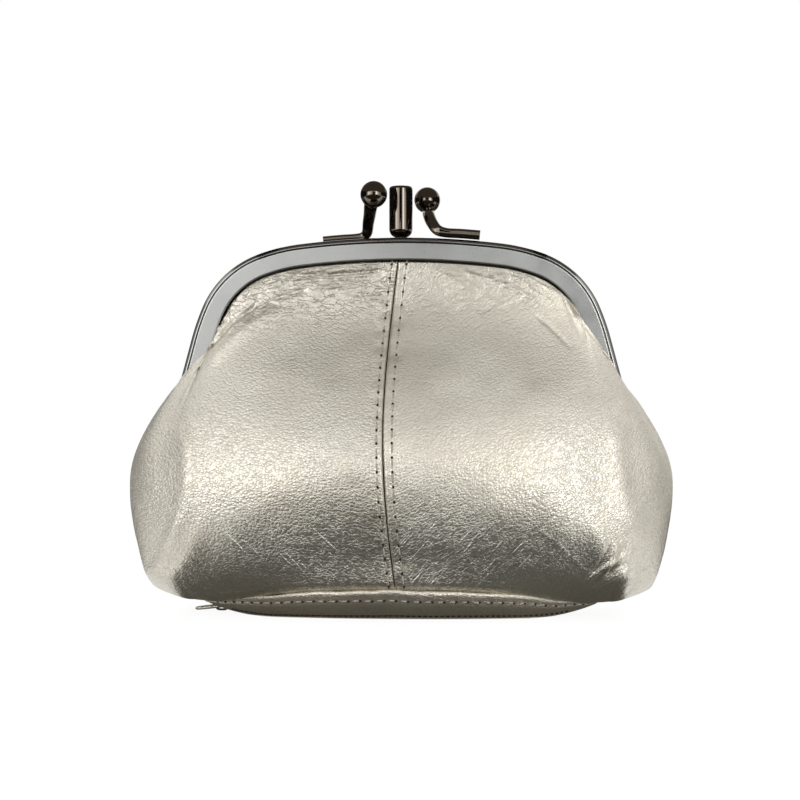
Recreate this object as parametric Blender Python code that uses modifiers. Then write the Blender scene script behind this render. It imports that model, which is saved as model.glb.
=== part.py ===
"""Kiss-lock coin purse: three-leaf metal frame, soft leather bag, zipped pocket in the base.

Metres, +Z up, front towards -Y. The purse stands on its base strips on the plane Z = 0, and the
origin is the middle of its base. The frame leaves hang on one hinge line along X at HINGE_Z.
"""

import math

import bmesh
import bpy
from mathutils import Matrix, Vector

MM = 0.001
GAP = 0.3 * MM                    # clearance between pieces that touch

# Frame: sheet channels bent to an arch, open towards the inside of the arch
FRAME_TOP = 86.0 * MM             # height of the arch's crown above the table
CROWN_RADIUS = 188.0 * MM
CROWN_ANGLE = 7.0                 # degrees from level, where the crown arc ends
HAUNCH_RADIUS = 43.5 * MM
HAUNCH_ANGLE = 20.0
CORNER_RADIUS = 22.2 * MM
CORNER_ANGLE = 67.0
KNEE_RADIUS = 54.5 * MM
LEG_ANGLE = 75.0
HINGE_Z = 44.0 * MM               # height of the hinge line
FACE_WIDTH = 5.2 * MM             # radial width of a channel's face
CHANNEL_DEPTH = 3.5 * MM          # front to back, outer leaves
MIDDLE_DEPTH = 3.4 * MM           # front to back, middle leaf
SHEET = 0.8 * MM                  # thickness of the frame metal
BACK_LIP = 4.6 * MM               # radial width of a channel's hidden flange
EDGE_BEVEL = 1.0 * MM             # slope between an outer leaf's face and its rim
EDGE_ROUND = 0.3 * MM             # slope at a channel's other rims

# Hinge: one ear on each leaf's leg, and a rivet through all three on each side
EAR_RADIUS = 2.2 * MM
EAR_RISE = 6.0 * MM               # how far an ear reaches up into its channel
EAR_FLUSH = 0.05 * MM             # the front leaf's ear sits this far inside its leg's outer side
RIVET_RADIUS = 0.95 * MM
RIVET_HEAD_RADIUS = 1.8 * MM
RIVET_HEAD = 0.6 * MM

# Clasp: two balls on stalks that pass a fixed post
POST_RADIUS = 2.65 * MM
POST_HEIGHT = 11.8 * MM
POST_ROUND = 0.9 * MM
POST_NECK_RADIUS = 1.6 * MM
STUD_RADIUS = 0.55 * MM
STUD_HEAD_LENGTH = 3.6 * MM       # oblong head inside the middle channel, along it
STUD_HEAD = 0.6 * MM              # its thickness
STUD_GRIP = 2.7 * MM              # length of the stud inside the post
BALL_RADIUS = 3.0 * MM
BALL_RISE = 9.6 * MM              # ball centre above the arch's crown
BALL_LEAN = 6.0 * MM              # ball centre past the post's axis, front to back
STALK_RADIUS = 1.15 * MM
STALK_SAG = 0.1 * MM              # how far the stalk's lower bend hangs under a straight line
SPIGOT = 1.3 * MM                 # length of the stalk inside the ball
TAB_START = 8.3 * MM              # clasp tab, distance from the middle of the frame
TAB_END = 18.2 * MM
TAB_THICKNESS = 2.2 * MM
TAB_INSET = 0.2 * MM              # tab narrower than the channel it is soldered on, each side

# Bag
LEATHER = 0.7 * MM
LINING = 0.3 * MM
DIVIDER = 0.8 * MM
BAG_HALF_WIDTH = 61.4 * MM        # at the belly
BAG_HALF_DEPTH = 25.0 * MM
BELLY_Z = 30.0 * MM               # height of the widest section
DEEPEST_Z = 26.0 * MM             # height of the deepest section
UNDER_HINGE = 6.5 * MM            # the bag stands by itself from here down, and flexes above
WALL_TOP = HINGE_Z - UNDER_HINGE
WALL_DRAW_IN = 1.6 * MM           # each side, from the belly up to the wall's top
OVER_HINGE = 17.0 * MM            # the leather laps over the frame's legs from here down
SHOULDER_Z = HINGE_Z + OVER_HINGE
SHOULDER_DROP = 8.2 * MM          # from there down to the leather's outer corner
CORD_RADIUS = 0.6 * MM            # paper cord that wedges the leather in an outer leaf
DIVIDER_CORD_RADIUS = 0.5 * MM
POCKET_FLOOR_Z = 14.0 * MM        # between the coin compartments and the zipped pocket
POCKET_FLOOR = 0.4 * MM

# Base: two strips, boat-shaped in plan, with the zip between them
BASE_HALF_LENGTH = 47.0 * MM
BASE_HALF_DEPTH = 21.0 * MM
BASE_SEAM_Z = 7.0 * MM            # height of the seam at the middle of the front
BASE_TIP_Z = 3.3 * MM             # height of the seam near the tips
BASE_UPTURN = 19.0 * MM           # each end of the base, where it rises off the table
BASE_FLAT = BASE_HALF_LENGTH - BASE_UPTURN
BASE_LIFT = 2.2 * MM              # how far the strips' undersides rise at their tips
STRIP_SHORT = 4.5 * MM            # the strips stop short of the seam's tips
BASE_STRIP_END = BASE_HALF_LENGTH - STRIP_SHORT
BASE_LIP_Y = 3.4 * MM             # half width of the groove along the zip
BASE_LIP_Z = 2.3 * MM             # height of the folded edge beside the zip
BASE_LIP_RUN = 2.1 * MM           # how far that fold runs outwards, less near the tips
LIP_STEP = 0.1 * MM               # least rise or run of a row of the fold
CORNER_SPREAD = 10.0 * MM         # the bag's lower corners are wider than its base
CORNER_HALF_WIDTH = BASE_HALF_LENGTH + CORNER_SPREAD
CORNER_Z = 6.0 * MM

# Zip
ZIP_Z = 3.6 * MM
COIL_RADIUS = 0.55 * MM
COIL_Y = 1.15 * MM
COIL_SHORT = 3.4 * MM             # the coils stop short of the seam's tips
COIL_HALF_LENGTH = BASE_HALF_LENGTH - COIL_SHORT
TAPE = 0.3 * MM
TAPE_OUTER = 8.0 * MM
SLIDER_LENGTH = 7.0 * MM
SLIDER_WIDTH = 5.2 * MM
SLIDER_PLATE = 0.6 * MM
SLIDER_BRIDGE = 0.5 * MM          # web between the plates, runs between the coils
SLIDER_PARK = 3.8 * MM            # from the coils' left end to the closed slider's middle
SLIDER_REST_X = SLIDER_PARK - COIL_HALF_LENGTH
BAIL = 0.5 * MM                   # thickness of the slider's bail
BAIL_HALF_WIDTH = 0.4 * MM
PULL_LENGTH = 6.2 * MM
PULL_WIDTH = 2.8 * MM
PULL_THICKNESS = 0.7 * MM
PULL_TILT = -6.0                  # degrees, its free end droops towards the table
STOP_LENGTH = 1.2 * MM

SEAM_EDGE = DIVIDER / 2 + 2 * GAP + LINING          # half the thickness caught in a side seam
TUCK_INSET = SHEET + GAP + 2 * CORD_RADIUS + GAP    # leather's edge in an outer channel
FRAME_Y = MIDDLE_DEPTH / 2 + GAP + CHANNEL_DEPTH / 2


# Collections, materials and small helpers

def clear_scene():
    for thing in list(bpy.data.objects):
        bpy.data.objects.remove(thing)


def new_collection(name):
    group = bpy.data.collections.new(name)
    bpy.context.scene.collection.children.link(group)
    return group


def new_material(name, colour, roughness, metallic):
    material = bpy.data.materials.new(name)
    material.use_nodes = True
    surface = material.node_tree.nodes["Principled BSDF"]
    surface.inputs["Base Color"].default_value = (*colour, 1.0)
    surface.inputs["Roughness"].default_value = roughness
    surface.inputs["Metallic"].default_value = metallic
    return material


clear_scene()
PURSE = new_collection("coin_purse")
GUIDES = new_collection("cutters")
FINISH = {
    "gunmetal": ((0.11, 0.105, 0.10), 0.22, 1.0),
    "gunmetal_face": ((0.24, 0.235, 0.23), 0.32, 1.0),
    "foil_leather": ((0.55, 0.50, 0.42), 0.42, 0.6),
    "base_leather": ((0.45, 0.41, 0.34), 0.45, 0.6),
    "lining_cloth": ((0.05, 0.045, 0.04), 0.8, 0.0),
    "paper_cord": ((0.45, 0.35, 0.22), 0.9, 0.0),
    "zip_tape": ((0.03, 0.03, 0.03), 0.8, 0.0),
    "zip_coil": ((0.02, 0.02, 0.02), 0.4, 0.0),
}


def add_object(name, data, finish):
    """Links a new object. One with a finish is a piece of the purse, one without is a cutter."""
    thing = bpy.data.objects.new(name, data)
    if finish:
        PURSE.objects.link(thing)
        colour, roughness, metallic = FINISH[finish]
        data.materials.append(new_material(name + "_" + finish, colour, roughness, metallic))
    else:
        GUIDES.objects.link(thing)
        thing.hide_render = True
        thing.display_type = "WIRE"
    return thing


def shade(thing, angle=40.0):
    thing.data.shade_smooth()
    thing.data.set_sharp_from_angle(angle=math.radians(angle))


def as_mesh(curve, finish):
    """Turns a curve object into a welded mesh object of the same name, at the same place."""
    bpy.context.view_layer.update()
    graph = bpy.context.evaluated_depsgraph_get()
    mesh = bpy.data.meshes.new_from_object(curve.evaluated_get(graph))
    mesh.materials.clear()
    work = bmesh.new()
    work.from_mesh(mesh)
    bmesh.ops.remove_doubles(work, verts=work.verts, dist=0.00001)
    bmesh.ops.recalc_face_normals(work, faces=work.faces)
    work.to_mesh(mesh)
    work.free()
    name, place = curve.name, curve.matrix_world.copy()
    bpy.data.objects.remove(curve)
    thing = add_object(name, mesh, finish)
    thing.matrix_world = place
    shade(thing)
    return thing


def boolean(thing, operation, tool):
    step = thing.modifiers.new(operation.lower() + "_" + tool.name, "BOOLEAN")
    step.operation = operation
    step.object = tool
    step.solver = "EXACT"


def polyline(name, points, cyclic=False, dimensions="3D"):
    curve = bpy.data.curves.new(name, "CURVE")
    curve.dimensions = dimensions
    spline = curve.splines.new("POLY")
    spline.points.add(len(points) - 1)
    for slot, point in zip(spline.points, points):
        slot.co = (*point, 1.0) if len(point) == 3 else (*point, 0.0, 1.0)
    spline.use_cyclic_u = cyclic
    return curve


# Planes for flat outlines: an outline's first and second coordinates go along these axes
XZ_PLANE = Matrix(((1, 0, 0, 0), (0, 0, -1, 0), (0, 1, 0, 0), (0, 0, 0, 1)))
YZ_PLANE = Matrix(((0, 0, 1, 0), (1, 0, 0, 0), (0, 1, 0, 0), (0, 0, 0, 1)))
XY_PLANE = Matrix.Identity(4)


def plate(name, outline, thickness, plane, centre, finish):
    """A flat outline extruded to a thickness, half to each side of its plane."""
    curve = polyline(name, outline, cyclic=True, dimensions="2D")
    curve.fill_mode = "BOTH"
    curve.extrude = thickness / 2
    thing = bpy.data.objects.new(name, curve)
    GUIDES.objects.link(thing)
    thing.matrix_world = Matrix.Translation(centre) @ plane
    return as_mesh(thing, finish)


def rod(name, points, radius, finish, resolution=2):
    """A round bar along points, as a mesh with filled ends."""
    curve = polyline(name, points)
    curve.bevel_depth = radius
    curve.bevel_resolution = resolution
    curve.use_fill_caps = True
    thing = bpy.data.objects.new(name, curve)
    GUIDES.objects.link(thing)
    return as_mesh(thing, finish)


def turned(name, profile, finish, steps=20):
    """A profile of (radius, height) pairs, outer side downwards, turned about its Z axis."""
    mesh = bpy.data.meshes.new(name)
    edges = [(i, i + 1) for i in range(len(profile) - 1)]
    mesh.from_pydata([(r, 0.0, z) for r, z in profile], edges, [])
    thing = add_object(name, mesh, finish)
    screw = thing.modifiers.new("turn", "SCREW")
    screw.steps = steps
    screw.render_steps = steps
    screw.use_merge_vertices = True
    screw.merge_threshold = 0.00001
    screw.use_smooth_shade = True
    return thing


def drill(name, radius, low, high, axis):
    """A round cutter from one end point to the other along an axis letter."""
    mesh = bpy.data.meshes.new(name)
    work = bmesh.new()
    length = (Vector(high) - Vector(low)).length
    bmesh.ops.create_cone(work, cap_ends=True, segments=16, radius1=radius, radius2=radius,
                          depth=length)
    work.to_mesh(mesh)
    work.free()
    thing = add_object(name, mesh, None)
    direction = {"X": Vector((1, 0, 0)), "Y": Vector((0, 1, 0)), "Z": Vector((0, 0, 1))}[axis]
    turn = Vector((0, 0, 1)).rotation_difference(direction)
    thing.matrix_world = Matrix.LocRotScale((Vector(low) + Vector(high)) / 2, turn, None)
    return thing


def block(name, low, high, finish):
    """A box between two corners, with its origin at its middle."""
    mesh = bpy.data.meshes.new(name)
    low, high = Vector(low), Vector(high)
    work = bmesh.new()
    bmesh.ops.create_cube(work, size=1.0, matrix=Matrix.Diagonal((*(high - low), 1.0)))
    work.to_mesh(mesh)
    work.free()
    thing = add_object(name, mesh, finish)
    thing.matrix_world = Matrix.Translation((low + high) / 2)
    return thing


def set_origin(thing, point):
    """Moves an object's origin to a point and leaves its mesh where it is."""
    bpy.context.view_layer.update()
    move = Matrix.Translation(point).inverted() @ thing.matrix_world
    thing.data.transform(move)
    thing.matrix_world = Matrix.Translation(point)


def smooth(share):
    """Eases from 0 to 1, level at both ends."""
    share = min(1.0, max(0.0, share))
    return share * share * (3 - 2 * share)


# The arch

ARCH_ARCS = [(CROWN_RADIUS, CROWN_ANGLE, 3), (HAUNCH_RADIUS, HAUNCH_ANGLE, 2),
             (CORNER_RADIUS, CORNER_ANGLE, 6), (KNEE_RADIUS, LEG_ANGLE, 1)]
LEG_LIFT = EAR_RADIUS + GAP + FACE_WIDTH * math.cos(math.radians(LEG_ANGLE))


def arch_half():
    """Outer edge of the arch, crown to leg end: (x, z, degrees from level)."""
    points = [(0.0, FRAME_TOP, 0.0)]
    x, z, turned_by = 0.0, FRAME_TOP, 0.0
    for radius, end, steps in ARCH_ARCS:
        start = turned_by
        x0, z0 = x, z
        for step in range(1, steps + 1):
            turned_by = start + (end - start) * step / steps
            x = x0 + radius * (math.sin(math.radians(turned_by)) - math.sin(math.radians(start)))
            z = z0 - radius * (math.cos(math.radians(start)) - math.cos(math.radians(turned_by)))
            points.append((x, z, turned_by))
    leg_z = HINGE_Z + LEG_LIFT
    for share in (0.5, 1.0):
        drop = (z - leg_z) * share
        points.append((x + drop / math.tan(math.radians(LEG_ANGLE)), z - drop, LEG_ANGLE))
    return points


ARCH = arch_half()


def inset(point, distance):
    """A point of the arch moved inwards, square to the arch."""
    x, z, angle = point
    return (x - distance * math.sin(math.radians(angle)), z - distance * math.cos(math.radians(angle)))


def arch_at_height(height):
    """The arch's outer point on the right at a height, read between its points."""
    for a, b in zip(ARCH, ARCH[1:]):
        if b[1] <= height <= a[1]:
            part = (a[1] - height) / (a[1] - b[1])
            return tuple(p + (q - p) * part for p, q in zip(a, b))
    return ARCH[-1]


def leg_x(height):
    """Outer side of a leg, or of its line carried on below it."""
    x, z, _ = ARCH[-1]
    return x + (z - height) / math.tan(math.radians(LEG_ANGLE))


EAR_OUTER = leg_x(HINGE_Z + LEG_LIFT) - EAR_FLUSH
EAR_STEP = SHEET + GAP


def arch_line(distance, y, keep=1.0):
    """The whole arch moved inwards, left foot to right foot, as 3D points."""
    half = [inset(p, distance) for p in ARCH]
    half = half[:max(2, round(len(half) * keep))]
    left = [(-x, y, z) for x, z in reversed(half[1:])]
    return left + [(x, y, z) for x, z in half]


def channel(name, y, depth, bevel_front, bevel_back):
    """A bent channel, open towards the inside of the arch."""
    half, wall = depth / 2, SHEET
    front, back = max(bevel_front, EDGE_ROUND), max(bevel_back, EDGE_ROUND)
    front_in = wall + max(EDGE_ROUND / 3, front - wall * 0.6)
    back_in = wall + max(EDGE_ROUND / 3, back - wall * 0.6)
    front_width = FACE_WIDTH if bevel_front >= bevel_back else BACK_LIP
    back_width = FACE_WIDTH if bevel_back >= bevel_front else BACK_LIP
    profile = [(front_width, half), (front, half), (0.0, half - front), (0.0, back - half),
               (back, -half), (back_width, -half), (back_width, wall - half),
               (back_in, wall - half), (wall, back_in - half), (wall, half - front_in),
               (front_in, half - wall), (front_width, half - wall)]
    section = bpy.data.objects.new(name + "_section", polyline(name + "_section", profile, True, "2D"))
    section.data.fill_mode = "NONE"
    GUIDES.objects.link(section)
    section.hide_render = True
    flat = [(x, z) for x, _, z in arch_line(0.0, 0.0)]
    path = bpy.data.objects.new(name, polyline(name, flat, dimensions="2D"))
    GUIDES.objects.link(path)
    path.data.bevel_mode = "OBJECT"
    path.data.bevel_object = section
    path.data.use_fill_caps = True
    path.matrix_world = Matrix.Translation((0, y, 0)) @ XZ_PLANE
    leaf = as_mesh(path, "gunmetal_face")
    bpy.data.objects.remove(section)
    return leaf


def arc(radius, start, end, steps, centre=(0.0, 0.0)):
    angles = [math.radians(start + (end - start) * i / steps) for i in range(steps + 1)]
    return [(centre[0] + radius * math.cos(a), centre[1] + radius * math.sin(a)) for a in angles]


def side_ear_outline(facing):
    """Ear of an outer leaf, seen from the side. facing is -1 for the front leaf, 1 for the rear."""
    outer = (FRAME_Y + CHANNEL_DEPTH / 2 - SHEET * 0.2)
    inner = (FRAME_Y - CHANNEL_DEPTH / 2 + SHEET * 0.2)
    neck = EAR_RADIUS * 0.75
    outline = [(outer, EAR_RISE), (inner, EAR_RISE), (inner, EAR_RADIUS + GAP / 2)]
    outline += [(-y, z) for y, z in arc(EAR_RADIUS, 80, -80, 10)]
    outline += [(outer - SHEET, -neck), (outer, SHEET - neck)]
    return [(facing * y, z) for y, z in outline]


def middle_ear_outline():
    half = MIDDLE_DEPTH / 2 - SHEET * 0.2
    low = math.sqrt(EAR_RADIUS ** 2 - half ** 2)
    start = math.degrees(math.atan2(low, -half))
    return [(half, EAR_RISE), (-half, EAR_RISE)] + arc(EAR_RADIUS, start, 540 - start, 14)


def frame_leaf(name, y, depth, bevels, ear_outline, ear_place):
    """A channel with an ear on each leg and a rivet hole in each ear."""
    leaf = channel(name, y, depth, *bevels)
    ear_x = EAR_OUTER - SHEET / 2 - ear_place * EAR_STEP
    for side, word in ((-1, "left"), (1, "right")):
        ear = plate(name + "_ear_" + word, ear_outline, SHEET, YZ_PLANE,
                    (side * ear_x, 0, HINGE_Z), None)
        boolean(leaf, "UNION", ear)
    hole = drill(name + "_rivet_hole", RIVET_RADIUS + GAP, (-FRAME_TOP, 0, HINGE_Z),
                 (FRAME_TOP, 0, HINGE_Z), "X")
    boolean(leaf, "DIFFERENCE", hole)
    set_origin(leaf, (0, 0, HINGE_Z))
    return leaf


def frame():
    frame_leaf("front_frame", -FRAME_Y, CHANNEL_DEPTH, (EDGE_BEVEL, 0.0), side_ear_outline(-1), 0)
    middle = frame_leaf("middle_frame", 0.0, MIDDLE_DEPTH, (0.0, 0.0), middle_ear_outline(), 1)
    frame_leaf("rear_frame", FRAME_Y, CHANNEL_DEPTH, (0.0, EDGE_BEVEL), side_ear_outline(1), 2)
    hole = drill("post_hole", STUD_RADIUS + GAP, (0, 0, FRAME_TOP - SHEET - GAP),
                 (0, 0, FRAME_TOP + SHEET), "Z")
    boolean(middle, "DIFFERENCE", hole)
    for side, word in ((-1, "left"), (1, "right")):
        hinge_rivet("hinge_rivet_" + word, side)


def hinge_rivet(name, side):
    outer = EAR_OUTER + GAP
    inner = EAR_OUTER - SHEET - 2 * EAR_STEP - GAP
    head, round_edge = RIVET_HEAD_RADIUS, RIVET_HEAD * 0.5
    profile = [(0.0, outer + RIVET_HEAD), (head - round_edge, outer + RIVET_HEAD),
               (head, outer + RIVET_HEAD - round_edge), (head, outer), (RIVET_RADIUS, outer),
               (RIVET_RADIUS, inner), (head, inner), (head, inner - RIVET_HEAD + round_edge),
               (head - round_edge, inner - RIVET_HEAD), (0.0, inner - RIVET_HEAD)]
    rivet = turned(name, profile, "gunmetal", 12)
    rivet.matrix_world = Matrix.Translation((0, 0, HINGE_Z)) @ Matrix.Rotation(
        math.radians(90 * side), 4, "Y")


# Clasp

def crown_z(x):
    """Height of the arch's outer edge near its middle."""
    return FRAME_TOP - CROWN_RADIUS + math.sqrt(CROWN_RADIUS ** 2 - x ** 2)


def centre_post():
    low = FRAME_TOP + GAP
    top = low + POST_HEIGHT
    bore, rise = STUD_RADIUS + GAP, STUD_GRIP + GAP
    profile = [(0.0, top), (POST_RADIUS - POST_ROUND, top),
               (POST_RADIUS - POST_ROUND * 0.3, top - POST_ROUND * 0.3),
               (POST_RADIUS, top - POST_ROUND), (POST_RADIUS, low + 2 * POST_ROUND),
               (POST_RADIUS - POST_ROUND * 0.3, low + POST_ROUND),
               (POST_NECK_RADIUS, low + POST_ROUND * 0.4), (POST_NECK_RADIUS, low), (bore, low),
               (bore, low + rise), (0.0, low + rise)]
    turned("centre_post", profile, "gunmetal", 24)
    head_top = FRAME_TOP - SHEET - GAP
    shank = [(0.0, low + STUD_GRIP), (STUD_RADIUS, low + STUD_GRIP),
             (STUD_RADIUS, head_top - STUD_HEAD / 2), (0.0, head_top - STUD_HEAD / 2)]
    stud = turned("post_stud", shank, "gunmetal", 12)
    head_x, head_y = STUD_HEAD_LENGTH / 2, MIDDLE_DEPTH / 2 - SHEET - GAP
    head = block("stud_head", (-head_x, -head_y, head_top - STUD_HEAD), (head_x, head_y, head_top),
                 None)
    boolean(stud, "UNION", head)


def clasp(word, side, leaf_y):
    """Tab, stalk and ball of one outer leaf. side is 1 on the right, leaf_y its channel's middle."""
    facing = -1 if leaf_y < 0 else 1
    under = [TAB_START + (TAB_END - TAB_START) * i / 4 for i in range(5)]
    top_start = crown_z(TAB_START) + GAP + TAB_THICKNESS
    top_end = crown_z(TAB_END) + GAP + TAB_THICKNESS
    outline = [(side * x, crown_z(x) + GAP) for x in under]
    outline += [(side * TAB_END, top_end), (side * TAB_START, top_start)]
    arm = plate(word + "_clasp_arm", outline, CHANNEL_DEPTH - 2 * TAB_INSET, XZ_PLANE,
                (0, leaf_y, 0), "gunmetal")
    ball_x = POST_RADIUS + GAP + BALL_RADIUS
    ball = Vector((side * ball_x, -facing * BALL_LEAN, FRAME_TOP + BALL_RISE))
    foot = Vector((side * (TAB_START + STALK_RADIUS * 0.6), leaf_y, top_start - STALK_RADIUS))
    knee = Vector((side * (TAB_START - STALK_RADIUS * 0.6), leaf_y, top_start + STALK_RADIUS * 0.3))
    reach = ball - knee
    rise = Vector((0, 0, 1.0))
    neck = ball - (reach.normalized() + rise).normalized() * BALL_RADIUS
    tip = ball + (neck - ball).normalized() * (BALL_RADIUS - SPIGOT)
    below = neck + (neck - ball).normalized() * STALK_RADIUS
    sag = Vector((0, 0, -STALK_SAG))
    curve = [foot, knee, knee.lerp(below, 1 / 3) + sag, knee.lerp(below, 2 / 3), below, tip]
    stalk = rod(word + "_clasp_stalk", [tuple(p) for p in curve], STALK_RADIUS, None, 3)
    boolean(arm, "UNION", stalk)
    set_origin(arm, (0, 0, HINGE_Z))
    mesh = bpy.data.meshes.new(word + "_clasp_ball")
    work = bmesh.new()
    bmesh.ops.create_uvsphere(work, u_segments=16, v_segments=10, radius=BALL_RADIUS)
    work.to_mesh(mesh)
    work.free()
    sphere = add_object(word + "_clasp_ball", mesh, "gunmetal")
    sphere.data.transform(Matrix.Translation(ball))
    bore_end = tip + (ball - tip).normalized() * GAP
    bore = rod(word + "_ball_bore", [tuple(ball + (neck - ball) * 1.3), tuple(bore_end)],
               STALK_RADIUS + GAP, None, 2)
    boolean(sphere, "DIFFERENCE", bore)
    shade(sphere)
    set_origin(sphere, (0, 0, HINGE_Z))


# Bag: the same outer surface gives leather, lining, seams and pocket floor their places

BELLY_POWER = 1.8                  # how long the belly stays full before it draws in below
NECK_POWER = 1.6                   # the same above it
MOUTH_SLACK = 0.65 * MM
MOUTH_HALF_DEPTH = FRAME_Y + MOUTH_SLACK           # where the bag meets the frame's crown
PLAN_POWER = 0.75                  # how full the bag's plan is: a box near 0, a lens at 1
SHOULDER_POWER = 0.38              # the same at the frame's legs, which the leather wraps
SEAM_REACH = 0.45                  # share of the wall's height in which the base's plan fades out
LAP_RISE = 2 * GAP                 # the wall's lower edge is lapped by the base strip
LAP_DEPTH = LEATHER + 2 * GAP
LAP_FADE = 6.0
LINING_TOP = 0.9                   # share of the wall's last row that its lining reaches
FOLD_ROOM = 0.4 * MM               # slack of the leather folded round the frame's legs
FOLD_ROW = 1.2 * MM                # last row of leather before its folded edge
FOLD_TURN = 0.2 * MM               # how far that edge is turned in
IN_ARCH = 0.62                     # how far across the bag the leather inside the arch reaches
ON_LEG = ((0.0, 0.68), (0.45, 0.75), (0.9, 0.82))  # shares down the lap's edge and across the bag
ROUND_LEG = (0.88, 0.94)           # shares across the bag at the fold round the leg
CORD_SHARE = 0.8                   # share of the arch's points that the paper cords run along


def bag_half_width(z):
    if z < BELLY_Z:
        share = (BELLY_Z - max(z, CORNER_Z)) / (BELLY_Z - CORNER_Z)
        return BAG_HALF_WIDTH - (BAG_HALF_WIDTH - CORNER_HALF_WIDTH) * share ** BELLY_POWER
    share = (z - BELLY_Z) / (WALL_TOP - BELLY_Z)
    return BAG_HALF_WIDTH - WALL_DRAW_IN * share ** NECK_POWER


def bag_half_depth(z):
    if z < DEEPEST_Z:
        share = (DEEPEST_Z - max(z, BASE_SEAM_Z)) / (DEEPEST_Z - BASE_SEAM_Z)
        return BAG_HALF_DEPTH - (BAG_HALF_DEPTH - BASE_HALF_DEPTH) * share ** BELLY_POWER
    share = min(1.0, (z - DEEPEST_Z) / (FRAME_TOP - DEEPEST_Z))
    swell = (1 + math.cos(math.pi * share)) / 2
    return MOUTH_HALF_DEPTH + (BAG_HALF_DEPTH - MOUTH_HALF_DEPTH) * swell


def base_plan(x):
    """Half depth of the base seam, 0 at its tips."""
    share = min(1.0, abs(x) / BASE_HALF_LENGTH)
    return BASE_HALF_DEPTH * (1.0 - share ** 2.2) ** 0.8


def seam_z(x):
    """Height of the bag's lower edge: the base seam, then the turned-up lower corner."""
    share = min(1.0, abs(x) / BASE_STRIP_END)
    along = BASE_SEAM_Z + (BASE_TIP_Z - BASE_SEAM_Z) * share ** 2
    corner = max(0.0, (abs(x) - BASE_HALF_LENGTH) / (CORNER_HALF_WIDTH - BASE_HALF_LENGTH))
    return along + (CORNER_Z - BASE_TIP_Z) * corner ** 2


def wall_point(across, up):
    """Front wall, outer side. across runs from 0 at the middle to 1 at the side seam."""
    angle = across * math.pi / 2
    low_x = CORNER_HALF_WIDTH * math.sin(angle)
    low_z = seam_z(low_x) + LAP_RISE
    z = low_z + (WALL_TOP - low_z) * up
    x = bag_half_width(z) * math.sin(angle)
    full = math.cos(angle) ** PLAN_POWER
    boat = base_plan(low_x) / BASE_HALF_DEPTH
    y = bag_half_depth(z) * (boat + (full - boat) * smooth(up / SEAM_REACH))
    y -= LAP_DEPTH * max(0.0, 1.0 - up * LAP_FADE)
    return Vector((x, -max(y, SEAM_EDGE), z))


def shoulder_top():
    """Upper edge of the flexing leather on the right: (place, tucked place, across) in order."""
    edge = []
    slot_y = FRAME_Y + CHANNEL_DEPTH / 2 - SHEET - GAP
    face_y = FRAME_Y + CHANNEL_DEPTH / 2 + GAP + LEATHER
    free = FACE_WIDTH + GAP + LEATHER / 2
    arch = [p for p in ARCH if p[1] > SHOULDER_Z + FOLD_ROW][::2] + [arch_at_height(SHOULDER_Z)]
    last = len(arch) - 1
    for i, point in enumerate(arch):
        x, z = inset(point, free)
        tuck = TUCK_INSET if i < last else free - FOLD_TURN
        tx, tz = inset(point, tuck)
        edge.append((Vector((x, -slot_y, z)), Vector((tx, -slot_y, tz)), IN_ARCH * i / last))
    corner_z = SHOULDER_Z - SHOULDER_DROP
    corner_x = leg_x(corner_z)
    start_x, start_z = inset(arch[-1], free + GAP)
    for share, across in ON_LEG:
        x = start_x + (corner_x - start_x) * share
        z = start_z - (start_z - corner_z) * share
        edge.append((Vector((x, -face_y, z - FOLD_ROW)), Vector((x, -face_y, z)), across))
    side_x = corner_x + GAP + LEATHER + FOLD_ROOM
    depths = (face_y - FOLD_ROOM, FRAME_Y + CHANNEL_DEPTH / 4, SEAM_EDGE)
    for depth, across in zip(depths, ROUND_LEG + (1.0,)):
        edge.append((Vector((side_x, -depth, corner_z - FOLD_ROW)),
                     Vector((side_x - FOLD_TURN / 2, -depth, corner_z)), across))
    return edge


def flex_columns(clearance, rows=5):
    """Flexing leather above the wall, right half: columns of points from the wall up."""
    columns = []
    for top, tucked, across in shoulder_top():
        low = wall_point(across, 1.0)
        low.z = WALL_TOP + clearance
        column = []
        for row in range(rows):
            up = row / rows
            place = low.lerp(top, up)
            power = PLAN_POWER + (SHOULDER_POWER - PLAN_POWER) * up
            bulge = bag_half_depth(place.z) * math.cos(across * math.pi / 2) ** power
            hold = up ** 2.5
            depth = bulge * (1 - hold) - top.y * hold
            column.append(Vector((place.x, -max(depth, SEAM_EDGE), place.z)))
        columns.append(column + [top, tucked])
    return columns


def wall_columns(steps=10, rows=6):
    return [[wall_point(i / steps, j / rows) for j in range(rows + 1)] for i in range(steps + 1)]


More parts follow.
